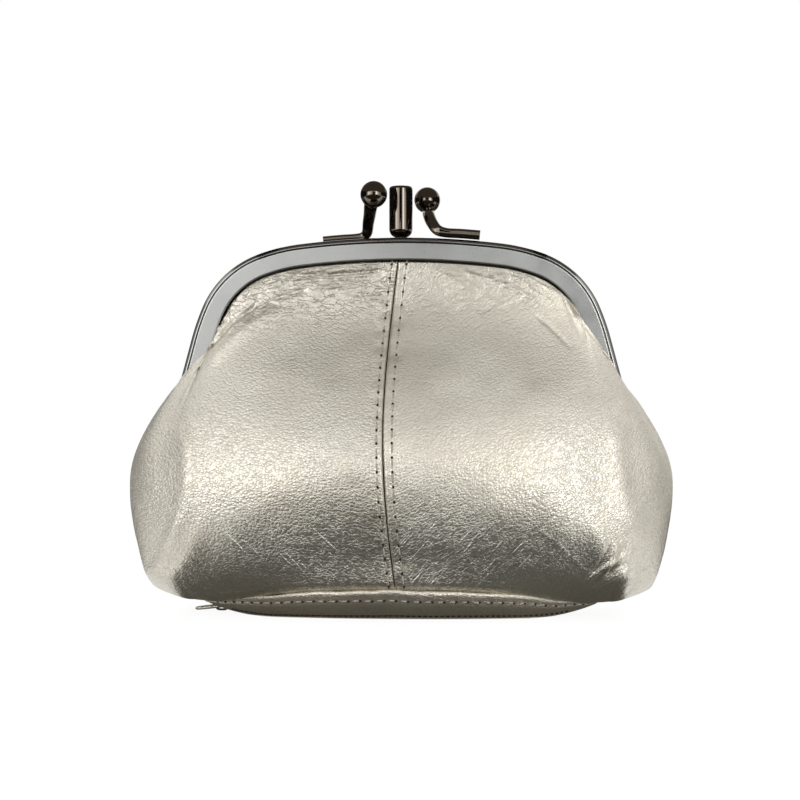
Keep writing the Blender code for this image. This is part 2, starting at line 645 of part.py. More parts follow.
def sheet_mesh(name, columns, side, facing, finish, depth, thickness):
    """A sheet of soft goods with its outer face a depth under the bag's outer surface.

    side is 1 or -1 for a right or left half, 0 for both. facing is -1 for the front, 1 for the rear.
    """
    if side == 0:
        grid = [[Vector((-p.x, p.y, p.z)) for p in c] for c in reversed(columns[1:])] + columns
    else:
        grid = [[Vector((side * p.x, p.y, p.z)) for p in c] for c in columns]
    work = bmesh.new()
    rows = [[work.verts.new((p.x, p.y * -facing, p.z)) for p in column] for column in grid]
    flip = (side < 0) != (facing > 0)
    for a, b in zip(rows, rows[1:]):
        for j in range(len(a) - 1):
            corners = [a[j], b[j], b[j + 1], a[j + 1]]
            work.faces.new(list(reversed(corners)) if flip else corners)
    work.normal_update()
    normals = [v.normal.copy() for v in work.verts]
    for vertex, normal in zip(work.verts, normals):
        vertex.co -= normal * depth
    if side != 0:
        for vertex in rows[0]:
            vertex.co.x += side * GAP / 2
    mesh = bpy.data.meshes.new(name)
    work.to_mesh(mesh)
    work.free()
    thing = add_object(name, mesh, finish)
    wall = thing.modifiers.new("thickness", "SOLIDIFY")
    wall.thickness = thickness
    wall.offset = -1.0
    wall.use_even_offset = False
    mesh.shade_smooth()
    return thing


def bag():
    walls, shoulders = wall_columns(), flex_columns(GAP)
    lining_depth = LEATHER + GAP
    lining_walls = [column[:-1] + [column[-2].lerp(column[-1], LINING_TOP)] for column in walls]
    in_arch = sum(1 for _, tucked, _ in shoulder_top() if -tucked.y < FRAME_Y + CHANNEL_DEPTH / 2) - 2
    lining_flex = flex_columns(3 * GAP)[:in_arch]
    for word, facing in (("front", -1), ("rear", 1)):
        for side, hand in ((-1, "left"), (1, "right")):
            sheet_mesh(word + "_leather_" + hand, walls, side, facing, "foil_leather", 0.0, LEATHER)
            flap = sheet_mesh(word + "_shoulder_" + hand, shoulders, side, facing, "foil_leather",
                              0.0, LEATHER)
            set_origin(flap, (0, 0, HINGE_Z))
        sheet_mesh(word + "_lining", lining_walls, 0, facing, "lining_cloth", lining_depth, LINING)
        upper = sheet_mesh(word + "_lining_upper", lining_flex, 0, facing, "lining_cloth",
                           lining_depth, LINING)
        set_origin(upper, (0, 0, HINGE_Z))
        leaf_y = facing * FRAME_Y
        cord = rod(word + "_frame_cord", arch_line(SHEET + GAP + CORD_RADIUS, leaf_y, CORD_SHARE),
                   CORD_RADIUS, "paper_cord", 1)
        set_origin(cord, (0, 0, HINGE_Z))


def divider():
    """Sheet between the two coin compartments, wedged in the middle leaf and caught in the seams."""
    cord_inset = SHEET + GAP + STUD_HEAD + GAP + DIVIDER_CORD_RADIUS
    rod("divider_cord", arch_line(cord_inset, 0.0, CORD_SHARE), DIVIDER_CORD_RADIUS, "paper_cord", 1)
    edge = cord_inset + DIVIDER_CORD_RADIUS + GAP
    upper = [inset(p, edge) for p in ARCH]
    clear_x = EAR_OUTER - SHEET - 2 * EAR_STEP - 2 * GAP - RIVET_HEAD
    margin = LEATHER + LINING + 3 * GAP
    low_z = POCKET_FLOOR_Z + POCKET_FLOOR + GAP
    heights = [WALL_TOP + (low_z - WALL_TOP) * i / 5 for i in range(6)]
    lower = [(bag_half_width(z) - margin, z) for z in heights]
    upper = [(min(x, clear_x), z) for x, z in upper]
    ear_swing = math.hypot(FRAME_Y + CHANNEL_DEPTH / 2, EAR_RADIUS) + GAP
    half = upper + [(clear_x, max(HINGE_Z - ear_swing, WALL_TOP + GAP))] + lower
    outline = half + [(-x, z) for x, z in reversed(half[1:])]
    plate("divider_panel", outline, DIVIDER, XZ_PLANE, (0, 0, 0), "lining_cloth")


def pocket_floor():
    margin = LEATHER + LINING + 3 * GAP
    width = bag_half_width(POCKET_FLOOR_Z) - margin
    quarter = []
    for i in range(9):
        across = i / 8
        low_x = CORNER_HALF_WIDTH * math.sin(across * math.pi / 2)
        up = (POCKET_FLOOR_Z - seam_z(low_x)) / (WALL_TOP - seam_z(low_x))
        point = wall_point(across, max(0.0, up))
        x = min(point.x, width) - margin * math.sin(across * math.pi / 2)
        quarter.append((x, max(-point.y - 1.8 * margin, 0.0) if i < 8 else 0.0))
    front = [(x, -y) for x, y in quarter] + [(x, y) for x, y in reversed(quarter[:-1])]
    outline = front + [(-x, y) for x, y in quarter[1:]] + [(-x, -y) for x, y in reversed(quarter[1:-1])]
    plate("pocket_floor", outline, POCKET_FLOOR, XY_PLANE, (0, 0, POCKET_FLOOR_Z + POCKET_FLOOR / 2),
          "lining_cloth")


# Base and zip

def underside_z(x):
    share = max(0.0, (abs(x) - BASE_FLAT) / (BASE_STRIP_END - BASE_FLAT))
    return BASE_LIFT * share ** 2


def strip_section(x):
    """Outer face of the front base strip at x, from the seam to the zip groove: (y, z) pairs."""
    seam_y, edge_z, low = base_plan(x), seam_z(x), underside_z(x)
    span = seam_y - BASE_LIP_Y
    rest = BASE_LIP_Y + min(BASE_LIP_RUN, span * 0.4)
    steps = ((1.0, 1.0), (0.86, 0.62), (0.7, 0.28), (0.54, 0.06), (0.44, 0.0))
    section = [(BASE_LIP_Y + span * a, low + (edge_z - low) * b) for a, b in steps]
    section = [(max(y, rest), z) for y, z in section]
    lip = max(BASE_LIP_Z, low + LIP_STEP)
    middle = (rest * 0.4 + BASE_LIP_Y * 0.6, (low + lip) / 2)
    return section + [(rest - LIP_STEP, low), middle, (BASE_LIP_Y, lip)]


def base_strips():
    columns = []
    for i in range(15):
        x = -BASE_STRIP_END + 2 * BASE_STRIP_END * i / 14
        columns.append([Vector((x, -y, z)) for y, z in reversed(strip_section(x))])
    for word, facing in (("front", -1), ("rear", 1)):
        sheet_mesh("base_strip_" + word, columns, 1, facing, "base_leather", 0.0, LEATHER)


def zip_fastener():
    for word, facing in (("front", -1), ("rear", 1)):
        ends = [(side * COIL_HALF_LENGTH, facing * COIL_Y, ZIP_Z) for side in (-1, 1)]
        rod("zip_coil_" + word, ends, COIL_RADIUS, "zip_coil", 2)
        inner = COIL_Y + COIL_RADIUS + GAP
        outer = []
        for i in range(9):
            x = -COIL_HALF_LENGTH + 2 * COIL_HALF_LENGTH * i / 8
            reach = min(TAPE_OUTER, base_plan(x) - LEATHER - 4 * GAP)
            outer.append((x, facing * max(reach, inner + TAPE)))
        outline = [(-COIL_HALF_LENGTH, facing * inner), (COIL_HALF_LENGTH, facing * inner)]
        plate("zip_tape_" + word, outline + list(reversed(outer)), TAPE, XY_PLANE, (0, 0, ZIP_Z),
              "zip_tape")
    for side, hand in ((-1, "left"), (1, "right")):
        start = side * (COIL_HALF_LENGTH + GAP)
        end = start + side * STOP_LENGTH
        half = COIL_Y + COIL_RADIUS
        low = (min(start, end), -half, ZIP_Z - COIL_RADIUS)
        high = (max(start, end), half, ZIP_Z + COIL_RADIUS)
        block("zip_stop_" + hand, low, high, "gunmetal")


def zip_slider():
    """Two plates joined by a web that runs between the coils, and lugs with the pull's pin."""
    half = SLIDER_LENGTH / 2
    reach = COIL_RADIUS + GAP
    x, wide = SLIDER_REST_X, SLIDER_WIDTH / 2
    corner = SLIDER_WIDTH * 0.28
    outline = [(-half, -wide + corner), (-half + corner, -wide), (half - corner, -wide),
               (half, -wide + corner), (half, wide - corner), (half - corner, wide),
               (-half + corner, wide), (-half, wide - corner)]
    low_z = ZIP_Z - reach - SLIDER_PLATE / 2
    high_z = ZIP_Z + reach + SLIDER_PLATE / 2
    slider = plate("zip_slider", outline, SLIDER_PLATE, XY_PLANE, (x, 0, low_z), "gunmetal")
    upper = plate("slider_upper_plate", outline, SLIDER_PLATE, XY_PLANE, (x, 0, high_z), None)
    web = block("slider_web", (x + half * 0.1, -SLIDER_BRIDGE / 2, low_z),
                (x + half * 0.7, SLIDER_BRIDGE / 2, high_z), None)
    boolean(slider, "UNION", upper)
    boolean(slider, "UNION", web)
    pin_x = x - half * 0.45
    pin_z = low_z - SLIDER_PLATE / 2 - GAP - PULL_THICKNESS / 2
    bail_z = pin_z - PULL_THICKNESS / 2 - GAP - BAIL
    span = PULL_THICKNESS / 2 + 2.5 * GAP
    for side, hand in ((-1, "near"), (1, "far")):
        ends = sorted((pin_x + side * span, pin_x + side * (span + BAIL)))
        leg = block("bail_leg_" + hand, (ends[0], -BAIL_HALF_WIDTH, bail_z),
                    (ends[1], BAIL_HALF_WIDTH, low_z), None)
        boolean(slider, "UNION", leg)
    bar = block("bail_bar", (pin_x - span - BAIL / 2, -BAIL_HALF_WIDTH, bail_z),
                (pin_x + span + BAIL / 2, BAIL_HALF_WIDTH, bail_z + BAIL), None)
    boolean(slider, "UNION", bar)
    set_origin(slider, (x, 0, ZIP_Z))
    zip_pull(pin_x, pin_z, span + BAIL)


def zip_pull(pin_x, pin_z, bail_reach):
    """A flat pull whose cross bar turns in the slider's bail, lying back along the groove."""
    wide, bar = PULL_WIDTH / 2, PULL_THICKNESS / 2
    corner = PULL_WIDTH * 0.3
    outline = [(bar, -wide), (bar, wide), (-PULL_LENGTH + corner, wide),
               (-PULL_LENGTH, wide - corner), (-PULL_LENGTH, corner - wide),
               (-PULL_LENGTH + corner, -wide)]
    pull = plate("zip_pull", outline, PULL_THICKNESS, XY_PLANE, (0, 0, 0), "base_leather")
    eye = BAIL_HALF_WIDTH + GAP
    window = block("pull_window", (-bail_reach - 3 * GAP, -eye, -PULL_THICKNESS),
                   (-bar, eye, PULL_THICKNESS), None)
    tilt = Matrix.Rotation(math.radians(PULL_TILT), 4, "Y")
    pull.matrix_world = Matrix.Translation((pin_x, 0, pin_z)) @ tilt
    window.matrix_world = pull.matrix_world @ window.matrix_world
    boolean(pull, "DIFFERENCE", window)


frame()
centre_post()
clasp("front", 1, -FRAME_Y)
clasp("rear", -1, FRAME_Y)
bag()
divider()
pocket_floor()
base_strips()
zip_fastener()
zip_slider()
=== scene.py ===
"""The looks of a kiss-lock coin purse in champagne foil leather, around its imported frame.

Lengths below are in millimetres unless a name says otherwise; meshes are scaled to metres when they
are made. Front is -Y, up is +Z, and the origin is the middle of the base on the table.
"""

import math

import bmesh
import bpy
import numpy as np
from mathutils import Matrix, Vector


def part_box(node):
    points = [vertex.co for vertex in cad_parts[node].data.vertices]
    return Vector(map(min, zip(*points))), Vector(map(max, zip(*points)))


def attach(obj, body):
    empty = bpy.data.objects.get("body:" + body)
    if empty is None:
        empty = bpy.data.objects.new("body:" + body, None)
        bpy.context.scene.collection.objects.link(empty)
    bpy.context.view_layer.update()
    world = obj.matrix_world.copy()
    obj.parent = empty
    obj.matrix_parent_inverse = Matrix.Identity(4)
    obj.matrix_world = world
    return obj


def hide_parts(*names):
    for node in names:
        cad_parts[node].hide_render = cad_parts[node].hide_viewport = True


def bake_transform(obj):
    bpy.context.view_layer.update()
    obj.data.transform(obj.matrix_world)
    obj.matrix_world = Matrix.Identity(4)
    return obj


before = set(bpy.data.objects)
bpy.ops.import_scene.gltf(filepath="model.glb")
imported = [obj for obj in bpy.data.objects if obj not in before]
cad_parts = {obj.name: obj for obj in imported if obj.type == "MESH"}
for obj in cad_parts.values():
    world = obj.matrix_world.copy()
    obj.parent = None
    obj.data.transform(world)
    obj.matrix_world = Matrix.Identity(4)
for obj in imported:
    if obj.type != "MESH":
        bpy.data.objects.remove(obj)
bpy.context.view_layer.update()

MM = 0.001

# Sizes shared with the solids
FRAME_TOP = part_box("middle_frame")[1].z / MM
HINGE_Z = 44.0
ARCS = ((188.0, 7.0), (43.5, 20.0), (22.2, 67.0), (54.5, 75.0))    # radius, angle where it ends
LEG_ANGLE = 75.0
FACE_WIDTH = 5.2
BACK_LIP = 4.6                     # radial width of a channel's hidden flange
SHEET = 0.8
GAP = 0.3                          # clearance between pieces that touch
LEG_FOOT_Z = 47.85
OUTER_DEPTH = 3.5
MIDDLE_DEPTH = 3.4
FRAME_Y = 3.75                     # middle of an outer leaf's channel
FACE_Y = FRAME_Y + OUTER_DEPTH / 2
SLOT_Y = FACE_Y - SHEET - GAP
EAR_OUTER = 51.85
EAR_RADIUS = 2.2
EAR_RISE = 6.0                     # how far an ear reaches up into its channel
EAR_INSET = 0.16                   # an ear is narrower than its channel by this much on each side
BASE_LIP_Y, BASE_LIP_Z = 3.4, 2.3  # the base strips' folded edge beside the zip
BASE_LIP_RUN = 2.1                 # how far that fold runs outwards
BASE_FLAT = 28.0                   # the base lies level from its middle to here
BASE_LIFT, BASE_UPTURN = 2.2, 14.5  # how far its ends rise, and over what length

# The bag's outer surface
BELLY_WIDTH, BELLY_Z = 61.4, 30.0
CORNER_WIDTH, CORNER_Z = 57.0, 6.0
SHOULDER_WIDTH, SHOULDER_END_Z = 51.4, 51.4
SEAM_HALF_GAP = 0.12
TUCK_EDGE = 5.55                   # the leather's turn into the channel, inwards from the arch's edge
LAP_RISE = 0.75                    # the leather over a leg's face
# Height where the leather comes over a leg, x and z where it leaves it, and over what height it rises
LEFT_LAP = (60.8, 50.7, 52.4, 3.6)
RIGHT_LAP = (67.4, 50.4, 52.0, 6.5)
SEAM_TOP_Z = 80.0                  # where the centre seam goes into the channel
SEAM_WANDER, REAR_WANDER = 2.6, 0.4    # how far the centre seams bow sideways
STITCH_PITCH = 3.15
LEATHER_SHOWN, LINING_SHOWN, STRIP_SHOWN = 0.55, 0.25, 0.5     # thicknesses of the sheets drawn here
BAG_DEPTH, DEEPEST_Z = 25.0, 26.0
MOUTH_DEPTH = 4.4
CORNER_SAG = {-1: 5.0, 1: 9.0}     # how much lower the belly is deepest near its corners
BASE_LENGTH, BASE_DEPTH = 47.0, 21.0
BASE_SEAM_Z, BASE_TIP_Z = 7.0, 3.3
BASE_TIP_X = 42.5                  # where the base seam is lowest
STRIP_END = 44.4


# Numbers and small geometry helpers

def smooth(value):
    value = np.clip(value, 0.0, 1.0)
    return value * value * (3 - 2 * value)


def value_noise(x, z, size, seed):
    """Smooth random field between -1 and 1, one cell every size millimetres."""
    u, v = x / size + 512.0, z / size + 512.0
    iu, iv = np.floor(u).astype(np.int64), np.floor(v).astype(np.int64)
    fu, fv = smooth(u - iu), smooth(v - iv)

    def corner(du, dv):
        mixed = (iu + du) * 374761393 + (iv + dv) * 668265263 + seed * 2246822519
        mixed = (mixed ^ (mixed >> 13)) * 1274126177 & 0x7FFFFFFF
        return ((mixed ^ (mixed >> 16)) & 0xFFFF) / 32767.5 - 1.0

    low = corner(0, 0) * (1 - fu) + corner(1, 0) * fu
    high = corner(0, 1) * (1 - fu) + corner(1, 1) * fu
    return low * (1 - fv) + high * fv


def unit(vectors):
    return vectors / np.maximum(np.linalg.norm(vectors, axis=-1, keepdims=True), 1e-9)


def grid_normals(points):
    """Unit normals of a grid of points; rows run first, columns second."""
    down = np.gradient(points, axis=0)
    across = np.gradient(points, axis=1)
    return unit(np.cross(across, down))


# Materials

def colour(code):
    """An sRGB hex colour as linear RGBA."""
    parts = [int(code[i:i + 2], 16) / 255 for i in (1, 3, 5)]
    return tuple(p / 12.92 if p <= 0.04045 else ((p + 0.055) / 1.055) ** 2.4 for p in parts) + (1.0,)


def connect(tree, node, **inputs):
    """Fills a node's inputs, by name or number, with values, sockets or other nodes' first outputs."""
    for key, value in inputs.items():
        socket = node.inputs[int(key[1:]) if key[1:].isdigit() else key.replace("_", " ")]
        if isinstance(value, bpy.types.Node):
            value = value.outputs[0]
        if isinstance(value, bpy.types.NodeSocket):
            tree.links.new(value, socket)
        else:
            socket.default_value = value


def add_node(tree, kind, settings=None, **inputs):
    """Adds a node, sets its properties and fills its inputs."""
    node = tree.nodes.new(kind)
    for key, value in (settings or {}).items():
        setattr(node, key, value)
    connect(tree, node, **inputs)
    return node


def new_material(name):
    """A material with an empty Principled surface and an Object coordinate output."""
    material = bpy.data.materials.new(name)
    material.use_nodes = True
    tree = material.node_tree
    surface = tree.nodes["Principled BSDF"]
    place = add_node(tree, "ShaderNodeTexCoord").outputs["Object"]
    return material, tree, surface, place


NOISE, CELLS, MIX = "ShaderNodeTexNoise", "ShaderNodeTexVoronoi", "ShaderNodeMixRGB"
RANGE, MATH = "ShaderNodeMapRange", "ShaderNodeMath"
TIMES = {"operation": "MULTIPLY"}
DRAWN = {"vector_type": "TEXTURE"}     # a mapping that stretches along its turned X axis
TIMES_PLUS, LARGER = {"operation": "MULTIPLY_ADD"}, {"operation": "MAXIMUM"}


def foil_leather(name, tones, roughness, grain, relief, turn, stretch, slope, net, net_height):
    """Goat leather under a transferred metal foil.

    It gives the eye a soft metal sheen over pebbles, duller in the creases. Its colour darkens with the
    relief, so the grain's valleys and the net of creases are darker: partly the foil thin there, partly
    painted shade. The pebbles are about grain millimetres wide, with a bump strength of relief, drawn out
    stretch times along a line turned by turn degrees, because each half of the purse was cut another
    way out of the skin. Hairlines run at slope degrees low on the bag, where it has been rubbed, and a
    net of creases net millimetres wide covers the folded part under the frame.
    """
    light, mid, dark = [colour(code) for code in tones]
    material, tree, surface, place = new_material(name)
    laid = add_node(tree, "ShaderNodeMapping", DRAWN, Vector=place,
                    Rotation=(0, math.radians(turn), 0), Scale=(stretch, 1.0, 1.0))
    warp = add_node(tree, NOISE, Vector=laid, Scale=400.0, Detail=2.0)
    bent = add_node(tree, MIX, {"blend_type": "LINEAR_LIGHT"}, Fac=0.0005, Color1=laid,
                    Color2=warp.outputs["Color"])
    pebble = add_node(tree, CELLS, {"feature": "SMOOTH_F1"}, Vector=bent, Scale=1000 / grain,
                      Smoothness=0.35)
    dome = add_node(tree, RANGE, Value=pebble, From_Min=0.75, From_Max=0.1)
    border = add_node(tree, CELLS, {"feature": "DISTANCE_TO_EDGE"}, Vector=bent, Scale=1000 / grain)
    groove = add_node(tree, RANGE, Value=border, From_Min=0.13, From_Max=0.0)
    broken = add_node(tree, NOISE, Vector=bent, Scale=1300.0, Detail=2.0)
    open_share = add_node(tree, RANGE, Value=broken, From_Min=0.36, From_Max=0.54)
    valley = add_node(tree, MATH, TIMES, _0=groove, _1=open_share)
    fine = add_node(tree, NOISE, Vector=laid, Scale=2800.0, Detail=3.0)
    drawn = add_node(tree, "ShaderNodeMapping", DRAWN, Vector=place,
                     Rotation=(0, math.radians(turn), 0), Scale=(2.0, 1.0, 1.0))
    crumple = add_node(tree, NOISE, Vector=drawn, Scale=1000 / net, Detail=3.0, Distortion=0.6)
    off_middle = add_node(tree, MATH, {"operation": "SUBTRACT"}, _0=crumple, _1=0.5)
    nearness = add_node(tree, MATH, {"operation": "ABSOLUTE"}, _0=off_middle)
    crease_line = add_node(tree, RANGE, Value=nearness, From_Min=0.035, From_Max=0.0)
    slant = add_node(tree, "ShaderNodeMapping", DRAWN, Vector=place,
                     Rotation=(0, math.radians(slope), 0), Scale=(11.0, 2.5, 0.7))
    streak = add_node(tree, NOISE, Vector=slant, Scale=900.0, Detail=1.0)
    scratch = add_node(tree, RANGE, Value=streak, From_Min=0.62, From_Max=0.7)
    patch = add_node(tree, NOISE, Vector=place, Scale=45.0, Detail=3.0)
    level = add_node(tree, "ShaderNodeSeparateXYZ", Vector=place).outputs["Z"]

    faded = add_node(tree, RANGE, Value=level, From_Min=0.042, From_Max=0.064, To_Min=1.0, To_Max=0.4)
    patchy = add_node(tree, RANGE, Value=patch, From_Min=0.38, From_Max=0.62, To_Min=0.7)
    bold = add_node(tree, MATH, TIMES, _0=faded, _1=patchy)
    under_frame = add_node(tree, RANGE, Value=level, From_Min=0.056, From_Max=0.07)
    creased = add_node(tree, RANGE, Value=patch, From_Min=0.4, From_Max=0.55)
    folded = add_node(tree, MATH, TIMES, _0=under_frame, _1=creased)
    low = add_node(tree, RANGE, Value=level, From_Min=0.027, From_Max=0.018)
    rubbed = add_node(tree, RANGE, Value=patch, From_Min=0.45, From_Max=0.56)
    scuffed = add_node(tree, MATH, TIMES, _0=low, _1=rubbed)

    height = add_node(tree, MATH, TIMES, _0=fine, _1=0.2)
    for layer, share, amount in ((valley, bold, -0.5), (dome, bold, 0.75),
                                 (crease_line, folded, net_height), (scratch, scuffed, 0.9)):
        weighted = add_node(tree, MATH, TIMES, _0=layer, _1=share)
        height = add_node(tree, MATH, TIMES_PLUS, _0=weighted, _1=amount, _2=height)
    # The colour follows the relief as well as the random patches: valleys and creases come out darker,
    # partly foil thin there and partly painted shade; the patch noise is the skin's own tone
    base_tone = add_node(tree, MATH, TIMES, _0=patch, _1=0.5)
    tone = add_node(tree, MATH, TIMES_PLUS, _0=height, _1=0.25, _2=base_tone)
    lower = add_node(tree, RANGE, Value=tone, From_Min=0.0, From_Max=0.22)
    upper = add_node(tree, RANGE, Value=tone, From_Min=0.22, From_Max=0.5)
    shade = add_node(tree, MIX, Fac=lower, Color1=dark, Color2=mid)
    shade = add_node(tree, MIX, Fac=upper, Color1=shade, Color2=light)
    rough = add_node(tree, RANGE, Value=height, From_Min=-0.6, From_Max=0.6, To_Min=roughness + 0.08,
                     To_Max=roughness - 0.03)
    bump = add_node(tree, "ShaderNodeBump", Height=height, Strength=relief, Distance=0.0001)
    connect(tree, surface, Base_Color=shade, Metallic=0.92, Roughness=rough, Normal=bump)
    return material


def plated_metal(name, base, bright, roughness, pitting):
    """Gunmetal plating over steel: a near-neutral grey mirror, faintly clouded, with fine pits."""
    material, tree, surface, place = new_material(name)
    cloud = add_node(tree, NOISE, Vector=place, Scale=120.0, Detail=4.0)
    speck = add_node(tree, NOISE, Vector=place, Scale=2600.0, Detail=2.0)
    pit = add_node(tree, RANGE, Value=speck, From_Min=0.28, From_Max=0.36)
    tone = add_node(tree, MATH, TIMES, _0=cloud, _1=pit)
    share = add_node(tree, RANGE, Value=tone, From_Min=0.1, From_Max=0.8)
    shade = add_node(tree, MIX, Fac=share, Color1=colour(base), Color2=colour(bright))
    rough = add_node(tree, RANGE, Value=cloud, From_Min=0.3, From_Max=0.7, To_Min=roughness * 0.85,
                     To_Max=roughness * 1.2)
    bump = add_node(tree, "ShaderNodeBump", Height=tone, Strength=pitting, Distance=0.00002)
    connect(tree, surface, Base_Color=shade, Metallic=1.0, Roughness=rough, Normal=bump)
    return material


WAVE_FACTOR = 20                       # a wave texture has a band every tau / (20 * scale) metres


def woven_cloth(name, dark, light, threads_mm, roughness):
    """Plain-woven cloth, dull, with crossing yarns threads_mm apart as small rounded ridges."""
    material, tree, surface, place = new_material(name)
    scale = math.tau * 1000 / threads_mm / WAVE_FACTOR
    warp = add_node(tree, "ShaderNodeTexWave", {"bands_direction": "X"}, Vector=place, Scale=scale)
    weft = add_node(tree, "ShaderNodeTexWave", {"bands_direction": "Z"}, Vector=place, Scale=scale)
    yarn = add_node(tree, MATH, LARGER, _0=warp.outputs["Fac"], _1=weft.outputs["Fac"])
    share = add_node(tree, RANGE, Value=yarn, From_Min=0.1, From_Max=0.95)
    shade = add_node(tree, MIX, Fac=share, Color1=colour(dark), Color2=colour(light))
    bump = add_node(tree, "ShaderNodeBump", Height=yarn, Strength=0.4, Distance=0.0001)
    connect(tree, surface, Base_Color=shade, Roughness=roughness, Sheen_Weight=0.2, Normal=bump)
    return material


def plain_finish(name, base, light, roughness, metallic=0.0, grain=900.0):
    """A small part's finish: two close tones in fine noise."""
    material, tree, surface, place = new_material(name)
    noise = add_node(tree, NOISE, Vector=place, Scale=grain, Detail=3.0)
    share = add_node(tree, RANGE, Value=noise, From_Min=0.35, From_Max=0.65)
    shade = add_node(tree, MIX, Fac=share, Color1=colour(base), Color2=colour(light))
    bump = add_node(tree, "ShaderNodeBump", Height=noise, Strength=0.2, Distance=0.00005)
    connect(tree, surface, Base_Color=shade, Roughness=roughness, Metallic=metallic, Normal=bump)
    return material


# Champagne foil; the grain is drawn at its real size, about 0.5 mm, which is 2 to 2.5 pixels
FOIL_TONES = ("#DAD6CB", "#CBC5B7", "#938A78")
# The base strip and the pull tab get lighter tones than the bag's foil: painted light that lifts their
# shade
LIGHTENED_BASE_TONES = ("#DCD5C7", "#CEC7B8", "#9E9686")
LEFT_FOIL = foil_leather("champagne_foil_goat_leather_left", FOIL_TONES, roughness=0.37, grain=0.56,
                         relief=0.82, turn=4, stretch=1.35, slope=48, net=1.5, net_height=-0.75)
RIGHT_FOIL = foil_leather("champagne_foil_goat_leather_right", FOIL_TONES, roughness=0.36, grain=0.46,
                          relief=0.68, turn=-38, stretch=1.6, slope=-48, net=2.0, net_height=-0.5)
BASE_FOIL = foil_leather("champagne_foil_goat_leather_base", LIGHTENED_BASE_TONES, roughness=0.43, grain=0.55,
                         relief=0.62, turn=0, stretch=1.4, slope=20, net=2.5, net_height=-0.3)
# Nickel-black plating: satin on the face, polished on rolled edges and the clasp. The edge copy is darker
# than the face as painted shade on the rolled edges, the inner lip and the crease beside the face, and the
# strip copy is lighter as a painted highlight along the outer bevel
FACE_METAL = plated_metal("satin_gunmetal_plate", "#B0B1AE", "#C4C5C2",
                          roughness=0.32, pitting=0.3)
SHADED_EDGE_METAL = plated_metal("gunmetal_plate_edge_painted_shade", "#4C4B49", "#595855",
                          roughness=0.17, pitting=0.1)
HIGHLIGHT_STRIP_METAL = plated_metal("gunmetal_plate_strip_painted_highlight", "#9C9A96", "#AAA8A4",
                           roughness=0.17, pitting=0.1)
BRIGHT_METAL = plated_metal("polished_gunmetal_plate", "#6C635A", "#787066",
                            roughness=0.1, pitting=0.05)
# Polyester lining and zip tape: dull black-brown, with a yarn pattern; the yarns of the real ones are
# about 0.2 mm apart and are drawn coarser, so that they show
LINING_CLOTH = woven_cloth("plain_woven_lining", "#1B1917", "#3A3733", threads_mm=0.35, roughness=0.8)
TAPE_CLOTH = woven_cloth("woven_zip_tape", "#0E0E0E", "#2A2928", threads_mm=0.4, roughness=0.75)
# Extruded nylon: black, with a soft gloss
COIL_NYLON = plain_finish("moulded_nylon_coil", "#101010", "#1E1D1C", roughness=0.4)
# Twisted kraft paper: dull brown
PAPER = plain_finish("twisted_paper_cord", "#8A7350", "#A58D66", roughness=0.9)
# Bonded polyester thread: close to the leather's colour on the seam, faintly shiny. The dark thread along
# the base stands in for the shadow line at the strip's lower edge: a painted shadow
THREAD = plain_finish("bonded_thread", "#A39A87", "#C4BCA9", roughness=0.55, metallic=0.3, grain=2500.0)
SHADOW_LINE_THREAD = plain_finish("dark_thread_painted_shadow_line", "#17140F", "#2E2A24", roughness=0.6, grain=2500.0)
# The dark a needle hole shows
HOLE = plain_finish("needle_hole_shadow", "#15110C", "#2A241C", roughness=0.9)


# Making objects

def link_object(name, data):
    """A new object in the scene for a mesh, a lamp or a camera."""
    thing = bpy.data.objects.new(name, data)
    bpy.context.scene.collection.objects.link(thing)
    return thing


def face_outwards(mesh):
    """Turns the faces of a closed mesh to point out of it."""
    work = bmesh.new()
    work.from_mesh(mesh)
    bmesh.ops.recalc_face_normals(work, faces=work.faces)
    work.to_mesh(mesh)
    work.free()


def new_object(name, vertices, faces, material, smooth_faces=True):
    mesh = bpy.data.meshes.new(name)
    mesh.from_pydata((np.asarray(vertices) * MM).tolist(), [], faces)
    mesh.materials.append(material)
    if smooth_faces:
        mesh.shade_smooth()
    mesh.update()
    return link_object(name, mesh)


def grid_faces(rows, columns, start=0, flip=False):
    faces = []
    for i in range(rows - 1):
        for j in range(columns - 1):
            a = start + i * columns + j
            face = (a, a + 1, a + columns + 1, a + columns)
            faces.append(face[::-1] if flip else face)
    return faces


def shell(name, outer, thickness, material, flip=False):
    """A closed sheet between a grid of outer points and the same grid moved inwards."""
    rows, columns = outer.shape[:2]
    normals = grid_normals(outer) * (-1.0 if flip else 1.0)
    inner = outer - normals * thickness
    count = rows * columns
    vertices = np.concatenate([outer.reshape(-1, 3), inner.reshape(-1, 3)])
    faces = grid_faces(rows, columns, 0, flip) + grid_faces(rows, columns, count, not flip)
    rim = [i * columns for i in range(rows)]
    rim += [(rows - 1) * columns + j for j in range(1, columns)]
    rim += [i * columns + columns - 1 for i in range(rows - 2, -1, -1)]
    rim += list(range(columns - 2, 0, -1))
    for a, b in zip(rim, rim[1:] + rim[:1]):
        face = (a, b, b + count, a + count)
        faces.append(face[::-1] if flip else face)
    return new_object(name, vertices, faces, material)


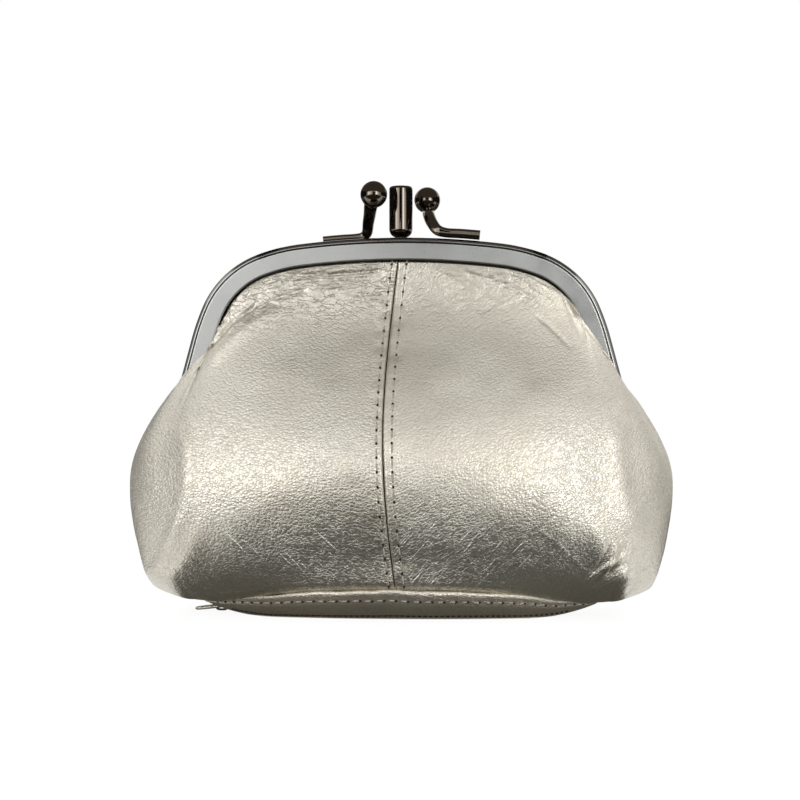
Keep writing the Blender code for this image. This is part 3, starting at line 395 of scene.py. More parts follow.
def sweep(name, sections, materials, bands=None):
    """A closed skin over a row of sections; bands gives each strip's material, all 0 by default."""
    count = len(sections[0])
    vertices = [p for section in sections for p in section]
    faces, finishes = [], []
    for i in range(len(sections) - 1):
        for j in range(count):
            a, b = i * count + j, i * count + (j + 1) % count
            faces.append((a, b, b + count, a + count))
            finishes.append(bands[j] if bands else 0)
    last = (len(sections) - 1) * count
    faces += [tuple(range(count - 1, -1, -1)), tuple(range(last, last + count))]
    finishes += [0, 0]
    thing = new_object(name, vertices, faces, materials[0])
    for extra in materials[1:]:
        thing.data.materials.append(extra)
    thing.data.polygons.foreach_set("material_index", finishes)
    face_outwards(thing.data)
    thing.data.shade_smooth()
    thing.data.set_sharp_from_angle(angle=math.radians(42))
    return thing


def join(name, things):
    """Joins meshes into one object at the origin; the first one's materials count for all."""
    work = bmesh.new()
    for thing in things:
        work.from_mesh(thing.data)
    mesh = bpy.data.meshes.new(name)
    work.to_mesh(mesh)
    work.free()
    for material in things[0].data.materials:
        mesh.materials.append(material)
    for thing in things:
        bpy.data.objects.remove(thing)
    return link_object(name, mesh)


# The arch of the frame

def arch_half(step=1.5):
    """Outer edge of the arch from the crown to the foot of the right leg: rows of x, z, angle."""
    rows = [(0.0, FRAME_TOP, 0.0)]
    x, z, start = 0.0, FRAME_TOP, 0.0
    for radius, end in ARCS:
        count = max(2, round((end - start) / step), round(radius * math.radians(end - start) / 0.9))
        for i in range(1, count + 1):
            angle = start + (end - start) * i / count
            rows.append((x + radius * (math.sin(math.radians(angle)) - math.sin(math.radians(start))),
                         z - radius * (math.cos(math.radians(start)) - math.cos(math.radians(angle))),
                         angle))
        x, z, _ = rows[-1]
        start = end
    drop = z - LEG_FOOT_Z
    for i in range(1, 11):
        fall = drop * i / 10
        rows.append((x + fall / math.tan(math.radians(LEG_ANGLE)), z - fall, LEG_ANGLE))
    return np.array(rows)


ARCH = arch_half()


def inset(rows, distance):
    """Points of the arch moved inwards: x and z columns."""
    angle = np.radians(rows[:, 2])
    return np.stack([rows[:, 0] - distance * np.sin(angle), rows[:, 1] - distance * np.cos(angle)], 1)


def channel_profile(depth, facing, bevelled):
    """Section of a bent channel as (distance inwards, y, finish); facing is its face's side."""
    half, wall, back = depth / 2, SHEET, BACK_LIP
    plain = [(back, half - wall, 0), (back, half - 0.2, 0), (back - 0.2, half, 0), (0.6, half, 0),
             (0.25, half - 0.06, 0), (0.06, half - 0.25, 0), (0.0, half - 0.6, 0)]
    front = plain
    if bevelled:
        # Finish 1 is the face. Finish 0, the darker copy, draws painted shade: the black line at the inner
        # lip, the crease outside the face and the outer rolled edge. Finish 2, the lighter copy, is a
        # painted highlight strip on the outer bevel.
        front = [(FACE_WIDTH, half - wall, 0), (FACE_WIDTH, half - 0.32, 0), (5.13, half - 0.1, 1),
                 (4.98, half, 1), (4.75, half, 1), (1.6, half, 1), (1.42, half, 1), (1.34, half - 0.04, 0),
                 (1.28, half - 0.2, 0), (1.16, half - 0.24, 0), (1.08, half - 0.12, 0),
                 (0.95, half - 0.1, 2), (0.72, half - 0.18, 2), (0.42, half - 0.42, 2),
                 (0.18, half - 0.75, 0), (0.04, half - 1.15, 0), (0.0, half - 1.6, 0)]
    rear = [(r, -y, kind) for r, y, kind in reversed(plain)]
    hollow = [(wall + 0.2, wall - half, 0), (wall, wall + 0.2 - half, 0), (wall, half - wall - 0.2, 0),
              (wall + 0.2, half - wall, 0)]
    return [(r, facing * y, kind) for r, y, kind in front + rear + hollow]


def frame_channel(name, y, depth, facing, bevelled):
    """A leaf's channel bent round the arch from one foot to the other."""
    profile = channel_profile(depth, facing, bevelled)
    sections = []
    for rows, side in ((ARCH[::-1][:-1], -1), (ARCH, 1)):
        for x, z, angle in rows:
            s, c = math.sin(math.radians(angle)), math.cos(math.radians(angle))
            sections.append([(side * (x - r * s), y + d, z - r * c) for r, d, _ in profile])
    bands = [min(a[2], b[2]) for a, b in zip(profile, profile[1:] + profile[:1])]
    return sweep(name, sections, (SHADED_EDGE_METAL, FACE_METAL, HIGHLIGHT_STRIP_METAL), bands)


def ear(name, x_outer, outline):
    """A leg's hinge ear: a plate square to X with an outline in y and height over the hinge."""
    outline = np.array(outline)
    centre = outline.mean(axis=0)
    small = centre + (outline - centre) * 0.97
    x_in = x_outer - math.copysign(SHEET, x_outer)
    soft = math.copysign(0.1, x_outer)
    layers = [(x_outer, small), (x_outer - soft, outline), (x_in + soft, outline), (x_in, small)]
    sections = [[(x, y, HINGE_Z + z) for y, z in ring] for x, ring in layers]
    return sweep(name, sections, (SHADED_EDGE_METAL,))


def frame_leaf(name, y, depth, facing, bevelled, ear_place, body):
    parts = [frame_channel(name + "_channel", y, depth, facing, bevelled)]
    radius, rise = EAR_RADIUS, EAR_RISE
    if bevelled:
        outer, inner = FACE_Y - EAR_INSET, FRAME_Y - OUTER_DEPTH / 2 + EAR_INSET
        outline = [(outer, rise), (inner, rise), (inner, radius + 0.15)]
        outline += [(-radius * math.cos(math.radians(a)), radius * math.sin(math.radians(a)))
                    for a in range(80, -81, -8)]
        outline += [(outer - SHEET, -1.65), (outer, -0.85)]
        outline = [(facing * a, b) for a, b in outline]
    else:
        half = depth / 2 - EAR_INSET
        outline = [(half, rise), (-half, rise)]
        outline += [(radius * math.cos(math.radians(a)), radius * math.sin(math.radians(a)))
                    for a in range(130, 411, 10)]
    for side in (-1, 1):
        x = side * (EAR_OUTER - ear_place * (SHEET + GAP))
        parts.append(ear(name + "_ear", x, outline))
    leaf = join(name + "_bent_channel", parts)
    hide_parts(name)
    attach(leaf, body)


# Clasp

def crown_z(x):
    return FRAME_TOP - ARCS[0][0] + math.sqrt(ARCS[0][0] ** 2 - x ** 2)


def catmull(points, steps):
    """A smooth run through points, each a tuple of any length."""
    points = [np.array(p, float) for p in points]
    padded = [2 * points[0] - points[1]] + points + [2 * points[-1] - points[-2]]
    run = []
    for a, b, c, d in zip(padded, padded[1:], padded[2:], padded[3:]):
        for i in range(steps):
            t = i / steps
            run.append(0.5 * (2 * b + (c - a) * t + (2 * a - 5 * b + 4 * c - d) * t * t
                              + (3 * b - a - 3 * c + d) * t ** 3))
    return run + [points[-1]]


def bar(name, stations, material, steps=8, sides=20):
    """A solid bar through stations (x, y, z, half width in Y, half height, squareness)."""
    run = catmull(stations, steps)
    centres = [p[:3] for p in run]
    sections = []
    for i, station in enumerate(run):
        ahead = centres[min(i + 1, len(run) - 1)] - centres[max(i - 1, 0)]
        ahead = ahead / np.linalg.norm(ahead)
        across = np.array((0.0, 1.0, 0.0)) - ahead * ahead[1]
        across /= np.linalg.norm(across)
        up = np.cross(ahead, across)
        half_width, half_height, power = station[3:]
        ring = []
        for k in range(sides):
            angle = math.tau * (k + 0.5) / sides
            c, s = math.cos(angle), math.sin(angle)
            wide = math.copysign(abs(c) ** power, c) * half_width
            high = math.copysign(abs(s) ** power, s) * half_height
            ring.append(tuple(station[:3] + across * wide + up * high))
        sections.append(ring)
    return sweep(name, sections, (material,))


def turned(name, profile, centre, material, sides=48):
    """A (radius, height) profile turned about an upright axis, top first."""
    sections = []
    for radius, z in profile:
        ring = []
        for k in range(sides):
            angle = math.tau * k / sides
            ring.append((centre[0] + max(radius, 0.01) * math.cos(angle),
                         centre[1] + max(radius, 0.01) * math.sin(angle), centre[2] + z))
        sections.append(ring)
    return sweep(name, sections, (material,))


BALL_RADIUS = 3.05
POST_RADIUS = 2.7
BALL_X = POST_RADIUS + 0.1 + BALL_RADIUS
BALL_Z = FRAME_TOP + 9.6
BALL_LEAN = 6.0


def ball(name, word, side, facing, body):
    centre = (side * BALL_X, -facing * BALL_LEAN, BALL_Z)
    profile = []
    for i in range(33):
        angle = math.pi * i / 32
        profile.append((BALL_RADIUS * math.sin(angle), BALL_RADIUS * math.cos(angle)))
    thing = turned(name, profile, centre, BRIGHT_METAL)
    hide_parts(word + "_clasp_ball")
    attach(thing, body)


def clasp_arm(name, word, side, facing, body):
    """Tab on the crown that bends up into the ball's stalk."""
    y = facing * FRAME_Y
    ball_y = -facing * BALL_LEAN
    sharp = side < 0                       # the left arm bends sharply, the right one in a curve
    tab = 0.85 if sharp else 1.1
    wide = 1.5
    stations = [(side * x, y, crown_z(x) + 0.25 + tab, wide, tab, 0.7) for x in (18.2, 17.6, 14.0, 10.6)]
    if sharp:
        stations += [(side * 8.9, y, crown_z(8.9) + 0.4 + tab, wide, 1.0, 0.45),
                     (side * 8.0, y - facing * 0.5, crown_z(8) + 2.0, wide, 1.2, 0.5),
                     (side * 7.6, y - facing * 1.8, FRAME_TOP + 3.9, 1.4, 1.3, 0.5),
                     (side * 7.1, ball_y * 0.25 + y * 0.2, FRAME_TOP + 5.6, 1.3, 1.4, 0.6),
                     (side * 6.6, ball_y * 0.72, FRAME_TOP + 7.2, 1.4, 1.55, 0.7),
                     (side * 6.2, ball_y * 0.93, FRAME_TOP + 8.4, 1.7, 1.75, 0.9)]
    else:
        stations += [(side * 8.6, y - facing * 0.3, crown_z(8.6) + 1.9, wide, 1.25, 0.55),
                     (side * 7.3, y - facing * 1.5, crown_z(7) + 3.5, 1.4, 1.35, 0.65),
                     (side * 6.5, ball_y * 0.2 + y * 0.28, FRAME_TOP + 5.3, 1.3, 1.4, 0.8),
                     (side * 6.1, ball_y * 0.7, FRAME_TOP + 7.0, 1.35, 1.4, 0.9),
                     (side * 5.9, ball_y * 0.93, FRAME_TOP + 8.3, 1.5, 1.55, 1.0)]
    arm = bar(name, stations, BRIGHT_METAL, steps=10, sides=28)
    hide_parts(word + "_clasp_arm")
    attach(arm, body)


def centre_post():
    low, top = FRAME_TOP + 0.3, FRAME_TOP + 12.1
    edge, foot = 0.6, 1.95
    profile = [(0.0, top), (POST_RADIUS - edge - 0.5, top)]
    for i in range(9):
        angle = math.radians(90 - 90 * i / 8)
        profile.append((POST_RADIUS - edge + edge * math.cos(angle), top - edge + edge * math.sin(angle)))
    for i in range(9):
        angle = math.radians(70 * i / 8)
        profile.append((POST_RADIUS - foot + foot * math.cos(angle), low + foot - foot * math.sin(angle)))
    profile += [(1.4, low + 0.05), (1.35, low), (0.0, low)]
    post = turned("upright_post", profile, (0, 0, 0), BRIGHT_METAL)
    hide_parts("centre_post")
    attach(post, "bag")


# The bag's form

def base_plan(x):
    share = np.clip(np.abs(x) / BASE_LENGTH, 0.0, 1.0)
    return BASE_DEPTH * (1.0 - share ** 2.2) ** 0.8


def seam_z(x):
    along = BASE_SEAM_Z + (BASE_TIP_Z - BASE_SEAM_Z) * np.clip(np.abs(x) / BASE_TIP_X, 0, 1) ** 2
    corner = np.clip((np.abs(x) - BASE_LENGTH) / (CORNER_WIDTH - BASE_LENGTH), 0, 1)
    return along + (CORNER_Z - BASE_TIP_Z) * corner ** 2


def half_width(z):
    """Silhouette of the bag from its lower corner up to the foot of the frame."""
    below = np.clip((BELLY_Z - z) / (BELLY_Z - CORNER_Z), 0, 1) ** 1.8
    above = np.clip((z - BELLY_Z) / (SHOULDER_END_Z - BELLY_Z), 0, 1) ** 1.85
    return BELLY_WIDTH - (BELLY_WIDTH - CORNER_WIDTH) * below - (BELLY_WIDTH - SHOULDER_WIDTH) * above


def half_depth(z):
    below = np.clip((DEEPEST_Z - z) / (DEEPEST_Z - BASE_SEAM_Z), 0, 1) ** 1.8
    share = np.clip((z - DEEPEST_Z) / (FRAME_TOP - DEEPEST_Z), 0, 1)
    above = MOUTH_DEPTH + (BAG_DEPTH - MOUTH_DEPTH) * (1 + np.cos(np.pi * share)) / 2
    return np.where(z < DEEPEST_Z, BAG_DEPTH - (BAG_DEPTH - BASE_DEPTH) * below, above)


def seam_line(z, wander):
    """Where the centre seam runs: it bows to the left of the photograph's middle."""
    share = np.clip((z - BASE_SEAM_Z) / (SEAM_TOP_Z - BASE_SEAM_Z), 0, 1)
    return -wander * (0.18 * share + np.sin(np.pi * share) ** 0.9)


def resample(points, count):
    """Points spaced evenly along a polyline."""
    points = np.asarray(points, float)
    steps = np.linalg.norm(np.diff(points, axis=0), axis=1)
    along = np.concatenate([[0.0], np.cumsum(steps)])
    wanted = np.linspace(0, along[-1], count)
    return np.stack([np.interp(wanted, along, points[:, k]) for k in range(3)], 1)


def top_edge(lap, wander):
    """Upper boundary of a half panel: in the channel along the arch, over the leg, round its side."""
    z0, x1, z1, ramp = lap
    over = FACE_Y + LAP_RISE
    near_lap = z0 + ramp - ARCH[:, 1]
    edge = inset(ARCH, TUCK_EDGE - 0.95 * smooth(near_lap / ramp / 1.25))
    arch = [(x, -SLOT_Y - (over - SLOT_Y) * smooth((z0 + ramp - z) / (ramp - 0.6)), z)
            for x, z in edge if x > 0.6 and z > z0 + 0.4]
    x0 = np.interp(z0 - 0.3, edge[::-1, 1], edge[::-1, 0])
    side = SHOULDER_WIDTH
    lapped = [(x0, -over, z0 - 0.3), ((x0 + x1) / 2 + 0.4, -over, (z0 + z1) / 2 + 0.4),
              (x1, -over + 0.05, z1), (side, 0.4 - FACE_Y, z1 - 0.3), (side, -3.2, SHOULDER_END_Z),
              (side, -1.3, SHOULDER_END_Z)]
    return np.array([(seam_line(SEAM_TOP_Z, wander), -SLOT_Y, arch[0][2])] + arch + catmull(lapped, 6))


def panel_grid(side, facing, lap, rows, columns, wander):
    """Outer surface of one half panel as a grid, made for the right front and then mirrored.

    It is a Coons patch in x and z between the centre seam, the side seam, the base seam and the top
    edge, whose depth blends from the boat-shaped base through the belly to the frame.
    """
    near = 26                              # columns crowded beside the centre seam
    place = np.concatenate([np.linspace(0, 0.06, near)[:-1], np.linspace(0.06, 1, columns - near + 1)])
    theta = place * np.pi / 2
    sigma = np.sin(theta)
    up = np.linspace(0, 1, rows)[:, None]
    edge = resample(top_edge(lap, wander * side), 600)
    reach = 0.55 * place + 0.45 * sigma
    top = np.stack([np.interp(reach, np.linspace(0, 1, 600), edge[:, k]) for k in range(3)], 1)
    low_x = CORNER_WIDTH * sigma
    # The lower edge lies 0.15 mm over the base seam, and 0.3 mm under it towards the tips
    near_tip = smooth((low_x - 26) / 12) * smooth((53 - low_x) / 5)
    low_z = seam_z(low_x) + 0.15 - 0.45 * near_tip
    centre_z = low_z[0] + (top[0, 2] - low_z[0]) * up
    side_z = low_z[-1] + (top[-1, 2] - low_z[-1]) * up
    centre_x = seam_line(centre_z, wander * side) + SEAM_HALF_GAP

    def patch(centre, outer, low, high):
        corners = (1 - sigma) * ((1 - up) * low[0] + up * high[0])
        corners = corners + sigma * ((1 - up) * low[-1] + up * high[-1])
        return (1 - sigma) * centre + sigma * outer + (1 - up) * low + up * high - corners

    x = patch(centre_x, half_width(side_z), low_x, top[:, 0])
    z = patch(centre_z, side_z, low_z, top[:, 2])
    # The plan grows squarer towards the frame
    power = 0.54 - 0.16 * smooth(up / 0.9)
    full = np.maximum(np.cos(theta), 1e-12) ** power
    boat = base_plan(low_x) / BASE_DEPTH
    # Share of the height over which the leather turns under to the base, smaller at the corners
    turn_height = 0.3 - 0.18 * smooth((x - 40) / 13)
    turn_under = np.sqrt(1 - (1 - np.clip(up / turn_height, 0, 1)) ** 2)
    # The belly is deepest further down towards the sides
    sag = 5.0 * (x / 50) ** 2 + (CORNER_SAG[side] * np.abs(x / 50) ** 1.5 - 4.0) * smooth((50 - z) / 22)
    sag = sag * smooth(up / 0.12)
    depth = half_depth(z + sag) * (boat + (full - boat) * turn_under)
    # Further up, the depth is handed over to that of the top edge
    hold = np.clip((up - 0.42) / 0.58, 0, 1) ** 2.5
    depth = depth * (1 - hold) - top[:, 1] * hold
    # The lowest edge goes in behind the base strip
    depth = depth - 0.9 * np.clip(1 - up * 40, 0, 1) * smooth(boat / 0.2)
    depth = np.maximum(depth, 0.03 + 1.27 * smooth((z - 43.5) / 8))
    # The side seam closes just under the frame's feet
    depth[:, -1] = 0.03 + 1.27 * smooth((z[:, -1] - 46) / 5.4)
    return np.stack([x * side, facing * depth, z], -1)


# Folds of the leather, seen from the front: start x z, end x z, bow, half width, height
LEFT_FOLDS = (
    (-47.0, 42.0, -47.8, 22.0, 1.2, 2.4, 0.55),
    (-47.8, 23.0, -54.5, 9.5, 0.4, 1.8, 0.55),
    (-43.4, 60.6, -32.4, 71.0, 0.6, 0.55, -0.5),
    (-42.4, 57.6, -28.0, 69.0, 1.2, 1.5, 0.4),
    (-39.5, 64.0, -33.0, 71.5, 0.4, 0.5, 0.25),
    (-34.6, 67.0, -32.6, 72.4, 0.2, 0.45, -0.5),
    (-32.0, 70.0, -22.0, 74.0, 0.5, 0.45, -0.22),
    (-24.0, 77.6, -3.8, 78.6, -0.4, 0.4, -0.3),
    (-27.0, 75.6, -6.0, 76.6, 0.4, 0.4, -0.24),
    (-21.0, 74.2, -9.0, 75.0, 0.3, 0.45, 0.16),
    (-12.0, 73.2, -3.8, 73.4, -0.2, 0.4, -0.14),
    (-49.0, 12.5, -40.0, 6.5, 0.5, 0.35, 0.2),
    (-47.0, 14.0, -41.0, 8.6, 0.5, 0.35, 0.18),
    (-45.0, 15.5, -39.0, 9.5, 0.3, 0.35, 0.16),
)
RIGHT_FOLDS = (
    (48.5, 44.0, 52.0, 20.0, -1.2, 2.6, 0.5),
    (3.0, 79.0, 13.5, 70.0, 0.6, 1.6, 0.22),
    (8.0, 78.5, 16.5, 73.5, 0.3, 0.4, -0.16),
    (14.0, 78.0, 31.0, 71.5, 0.8, 0.45, -0.16),
    (22.0, 70.0, 32.0, 76.0, -0.4, 0.45, 0.09),
    (31.0, 68.0, 38.0, 61.0, 0.3, 0.5, -0.14),
    (40.5, 8.0, 49.5, 15.0, 0.5, 0.45, 0.62),
    (41.8, 7.4, 50.0, 13.4, 0.5, 0.42, -0.5),
    (42.6, 7.0, 51.0, 12.0, 0.3, 0.42, 0.56),
    (44.5, 9.4, 48.0, 17.5, -0.5, 0.45, 0.6),
    (42.5, 10.5, 46.4, 18.0, -0.4, 0.42, -0.4),
    (46.2, 10.5, 50.0, 18.0, -0.4, 0.42, -0.4),
    (51.0, 6.2, 55.0, 10.4, 0.4, 0.6, -0.28),
    (50.0, 9.0, 54.6, 11.5, 0.3, 0.6, 0.2),
    (31.0, 21.0, 43.0, 9.5, 0.5, 0.4, 0.1),
)
REAR_FOLDS = (
    (-46.0, 42.0, -48.0, 20.0, 1.0, 3.4, 0.8),
    (45.0, 40.0, 50.0, 18.0, -1.0, 3.4, 0.8),
    (-30.0, 72.0, -9.0, 75.5, 0.8, 0.6, -0.3),
    (8.0, 76.0, 27.0, 70.0, 0.8, 0.6, -0.3),
    (-41.0, 62.0, -27.0, 55.0, 0.6, 0.8, -0.28),
    (41.0, 60.0, 26.0, 57.0, 0.6, 0.8, -0.28),
    (40.0, 9.0, 50.0, 13.0, 0.6, 0.5, 0.3),
    (-50.0, 12.0, -38.0, 8.0, 0.6, 0.5, 0.3),
)


def fold_height(x, z, fold):
    x0, z0, x1, z1, bow, width, height = fold
    run = np.array((x1 - x0, z1 - z0))
    length = np.linalg.norm(run)
    ahead = run / length
    along = ((x - x0) * ahead[0] + (z - z0) * ahead[1]) / length
    off = -(x - x0) * ahead[1] + (z - z0) * ahead[0]
    off = off - bow * 4 * along * (1 - along)
    ends = smooth((along + 0.12) / 0.3) * smooth((1.12 - along) / 0.3)
    return height * np.exp(-(off / width) ** 2) * ends


SEAM_ROW_LEFT, SEAM_ROW_RIGHT = -1.35, 2.0


def ridges(x, z, size, angle, stretch, seed):
    """Fine creases: sharp valleys of a stretched random field."""
    c, s = math.cos(math.radians(angle)), math.sin(math.radians(angle))
    u, v = x * c + z * s, (-x * s + z * c) * stretch
    field = value_noise(u, v, size, seed) + 0.5 * value_noise(u, v, size / 2.1, seed + 7)
    return np.exp(-(field / 0.16) ** 2)


def sculpt(points, facing, folds, seed, wander):
    """How far each grid point moves out: folds, wrinkles and the sewn centre, seen from its own side."""
    x, z = points[..., 0] * -facing, points[..., 2]
    height = np.zeros_like(x)
    for fold in folds:
        height += fold_height(x, z, fold)
    near_frame = smooth((z - 62) / 16)
    low = smooth((26 - z) / 14)
    left = smooth((2 - x) / 14)
    right = smooth((x - 2) / 14)
    for depth, zone, half, size, angle, stretch, step in ((0.17, near_frame, left, 3.0, 8, 2.0, 0),
                                                          (0.1, near_frame, left, 1.9, 14, 1.5, 1),
                                                          (0.13, near_frame, right, 3.6, -38, 1.8, 3),
                                                          (0.06, low, left, 7.0, -48, 8.0, 5),
                                                          (0.06, low, right, 7.0, 48, 8.0, 6)):
        height -= depth * zone * half * ridges(x, z, size, angle, stretch, seed + step)
    height += 0.3 * value_noise(x, z, 16.0, seed + 9) * smooth((z - 8) / 10) * smooth((76 - z) / 8)
    height += 0.08 * value_noise(x, z, 5.0, seed + 11) * smooth((78 - z) / 8)
    off = x - seam_line(z, wander)
    beside = smooth((4.0 - np.abs(off)) / 2.0)
    height += 0.1 * beside
    height += 0.07 * beside * value_noise(x * 0.4, z, 1.9, seed + 13)
    height -= 0.3 * np.exp(-((np.abs(off) - SEAM_HALF_GAP) / 0.25) ** 2)
    for place in (SEAM_ROW_LEFT, SEAM_ROW_RIGHT):
        height -= 0.09 * np.exp(-((off - place) / 0.4) ** 2)
    fade = np.ones_like(x)
    fade[-5:, :] = np.linspace(1, 0, 5)[:, None]
    fade[:5, :] *= np.linspace(0, 1, 5)[:, None]
    fade[:, -6:] *= np.linspace(1, 0, 6)[None, :]
    over_leg = smooth((np.abs(x[-14:]) - 36) / 5)
    fade[-14:] *= 1 - over_leg * np.linspace(0, 1, 14)[:, None] ** 0.5
    return height * fade


def leather_half(word, side, facing, lap, folds, seed, rows, columns, wander, finish):
    """One half of the front or rear leather, from the base seam up into the frame."""
    hand = "left" if side < 0 else "right"
    flip = side * facing > 0
    sign = -1.0 if flip else 1.0
    grid = panel_grid(side, facing, lap, rows, columns, wander)
    height = sculpt(grid, facing, folds, seed, wander)
    grid = grid + grid_normals(grid) * sign * height[..., None]
    normals = grid_normals(grid) * sign
    sewn = [seam_path(grid + normals * 0.06, facing, place, wander)
            for place in (SEAM_ROW_LEFT, SEAM_ROW_RIGHT) if place * side * -facing > 0]
    top, out = grid[-1], normals[-1]
    upwards = unit(grid[-1] - grid[-4])
    lapped = smooth((np.abs(top[:, 1]) - SLOT_Y - 0.3) / 0.9)[:, None]
    # Rows of the turned hem: rise and dip in the channel, then the same over a leg
    hem = []
    for rise, dip, lap_rise, lap_dip in ((0.08, 0.35, 0.16, 0.14), (0.1, 1.0, 0.18, 0.38),
                                         (1.6, 1.3, 0.05, 0.55)):
        tucked = top + upwards * rise - out * dip
        turned_under = top + upwards * lap_rise - out * lap_dip
        hem.append(turned_under * lapped + tucked * (1 - lapped))
    grid = np.concatenate([grid, np.array(hem)], 0)
    seam_turn = grid[:, 0] + np.array((side * -0.04, -facing * 0.8, 0))
    side_turn = grid[:, -1] - np.array((side * 1.4, 0, 0))
    grid = np.concatenate([seam_turn[:, None], grid, side_turn[:, None]], 1)
    low_turn = grid[0] + np.array((0, 0, 1.2))
    low_turn[:, 1] -= facing * 0.3 * smooth(np.abs(low_turn[:, 1]) - 0.2)
    grid = np.concatenate([low_turn[None], grid], 0)
    panel = shell(f"{word}_panel_{hand}", grid, LEATHER_SHOWN, finish, flip)
    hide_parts(f"{word}_leather_{hand}", f"{word}_shoulder_{hand}")
    flex(panel)
    return sewn


def flex(thing):
    """Bakes the piece's placement into its mesh."""
    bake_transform(thing)


def seam_path(grid, facing, place, wander):
    """Points on a half panel at a fixed distance from its centre seam, from the base up."""
    points = []
    for row in grid[4:-2]:
        off = np.abs(row[:, 0] * -facing - seam_line(row[:, 2], wander))
        points.append([np.interp(abs(place), off, row[:, k]) for k in range(3)])
    return np.array(points)


def lining(word, facing):
    """Cloth inside one side of the bag, from the pocket floor up to the frame."""
    halves = []
    for side in (-1, 1):
        grid = panel_grid(side, facing, LEFT_LAP, 60, 60, 0.0)[:, ::2]
        sign = -1.0 if side * facing > 0 else 1.0
        halves.append((grid - grid_normals(grid) * sign * 1.25)[:, ::side])
    whole = np.concatenate([halves[0], halves[1][:, 1:]], 1)[3:]
    room = SLOT_Y - 0.1 + 22.0 * smooth((52 - whole[..., 2]) / 8)
    whole[..., 1] = facing * np.clip(np.abs(whole[..., 1]), 0.55, room)
    cloth = shell(f"{word}_lining_cloth", whole, LINING_SHOWN, LINING_CLOTH, facing > 0)
    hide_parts(f"{word}_lining", f"{word}_lining_upper")
    flex(cloth)


# Things repeated along a path: stitches, needle holes and the turns of the zip's coils

def bead_tree():
    """Geometry Nodes: one small rounded bead at every pitch of a path, lying along it."""
    tree = bpy.data.node_groups.new("beads_along_a_path", "GeometryNodeTree")
    sockets = tree.interface
    sockets.new_socket("Geometry", in_out="INPUT", socket_type="NodeSocketGeometry")
    for label in ("Pitch", "First", "Length", "Width", "Height"):
        sockets.new_socket(label, in_out="INPUT", socket_type="NodeSocketFloat")
    sockets.new_socket("Finish", in_out="INPUT", socket_type="NodeSocketMaterial")
    sockets.new_socket("Geometry", in_out="OUTPUT", socket_type="NodeSocketGeometry")
    given = add_node(tree, "NodeGroupInput").outputs
    curve = add_node(tree, "GeometryNodeMeshToCurve", Mesh=given["Geometry"])
    shifted = add_node(tree, "GeometryNodeTrimCurve", {"mode": "LENGTH"}, Curve=curve,
                       _4=given["First"], _5=10.0)
    spaced = add_node(tree, "GeometryNodeResampleCurve", {"mode": "LENGTH"},
                      Curve=shifted, Length=given["Pitch"])
    bead = add_node(tree, "GeometryNodeMeshUVSphere", Segments=8, Rings=5, Radius=0.5)
    size = add_node(tree, "ShaderNodeCombineXYZ", X=given["Length"], Y=given["Width"],
                    Z=given["Height"])
    ahead = add_node(tree, "GeometryNodeInputTangent")
    turn = add_node(tree, "FunctionNodeAlignRotationToVector", {"axis": "X"}, Vector=ahead)
    row = add_node(tree, "GeometryNodeInstanceOnPoints", Points=spaced, Instance=bead, Rotation=turn,
                   Scale=size)
    real = add_node(tree, "GeometryNodeRealizeInstances", Geometry=row)
    finished = add_node(tree, "GeometryNodeSetMaterial", Geometry=real, Material=given["Finish"])
    add_node(tree, "NodeGroupOutput", Geometry=finished)
    return tree


def beads(name, paths, finish, pitch, first, length, width, height):
    """Runs the bead tree along paths and keeps the result as a plain mesh."""
    vertices, edges = [], []
    for path in paths:
        edges += [(len(vertices) + i, len(vertices) + i + 1) for i in range(len(path) - 1)]
        vertices += (np.asarray(path) * MM).tolist()
    mesh = bpy.data.meshes.new(name + "_path")
    mesh.from_pydata(vertices, edges, [])
    carrier = link_object(name + "_path", mesh)
    modifier = carrier.modifiers.new("beads", "NODES")
    modifier.node_group = BEADS
    sizes = {"Pitch": pitch, "First": first, "Length": length, "Width": width, "Height": height}
    for item in BEADS.interface.items_tree:
        if item.in_out == "INPUT" and item.name in sizes:
            modifier[item.identifier] = sizes[item.name] * MM
        elif item.in_out == "INPUT" and item.name == "Finish":
            modifier[item.identifier] = finish
    bpy.context.view_layer.update()
    evaluated = carrier.evaluated_get(bpy.context.evaluated_depsgraph_get())
    solid = bpy.data.meshes.new_from_object(evaluated)
    bpy.data.objects.remove(carrier)
    solid.shade_smooth()
    return link_object(name, solid)


def stitches(name, paths, pitch, thread=THREAD, thickness=0.4):
    """A row of lockstitch: threads lying on the leather and the needle holes between them."""
    line = beads(name + "_thread", paths, thread, pitch, first=pitch / 2, length=pitch * 0.76,
                 width=thickness, height=thickness)
    holes = beads(name + "_holes", paths, HOLE, pitch, first=0.0, length=0.75, width=0.55, height=0.5)
    return line, holes


BEADS = bead_tree()


# Base strips

UPPER_ROW, LOWER_ROW = 8, 14           # the rows of a strip's grid that its two seams lie in


def underside_z(x):
    return BASE_LIFT * np.clip((np.abs(x) - BASE_FLAT) / BASE_UPTURN, 0, 1.2) ** 2


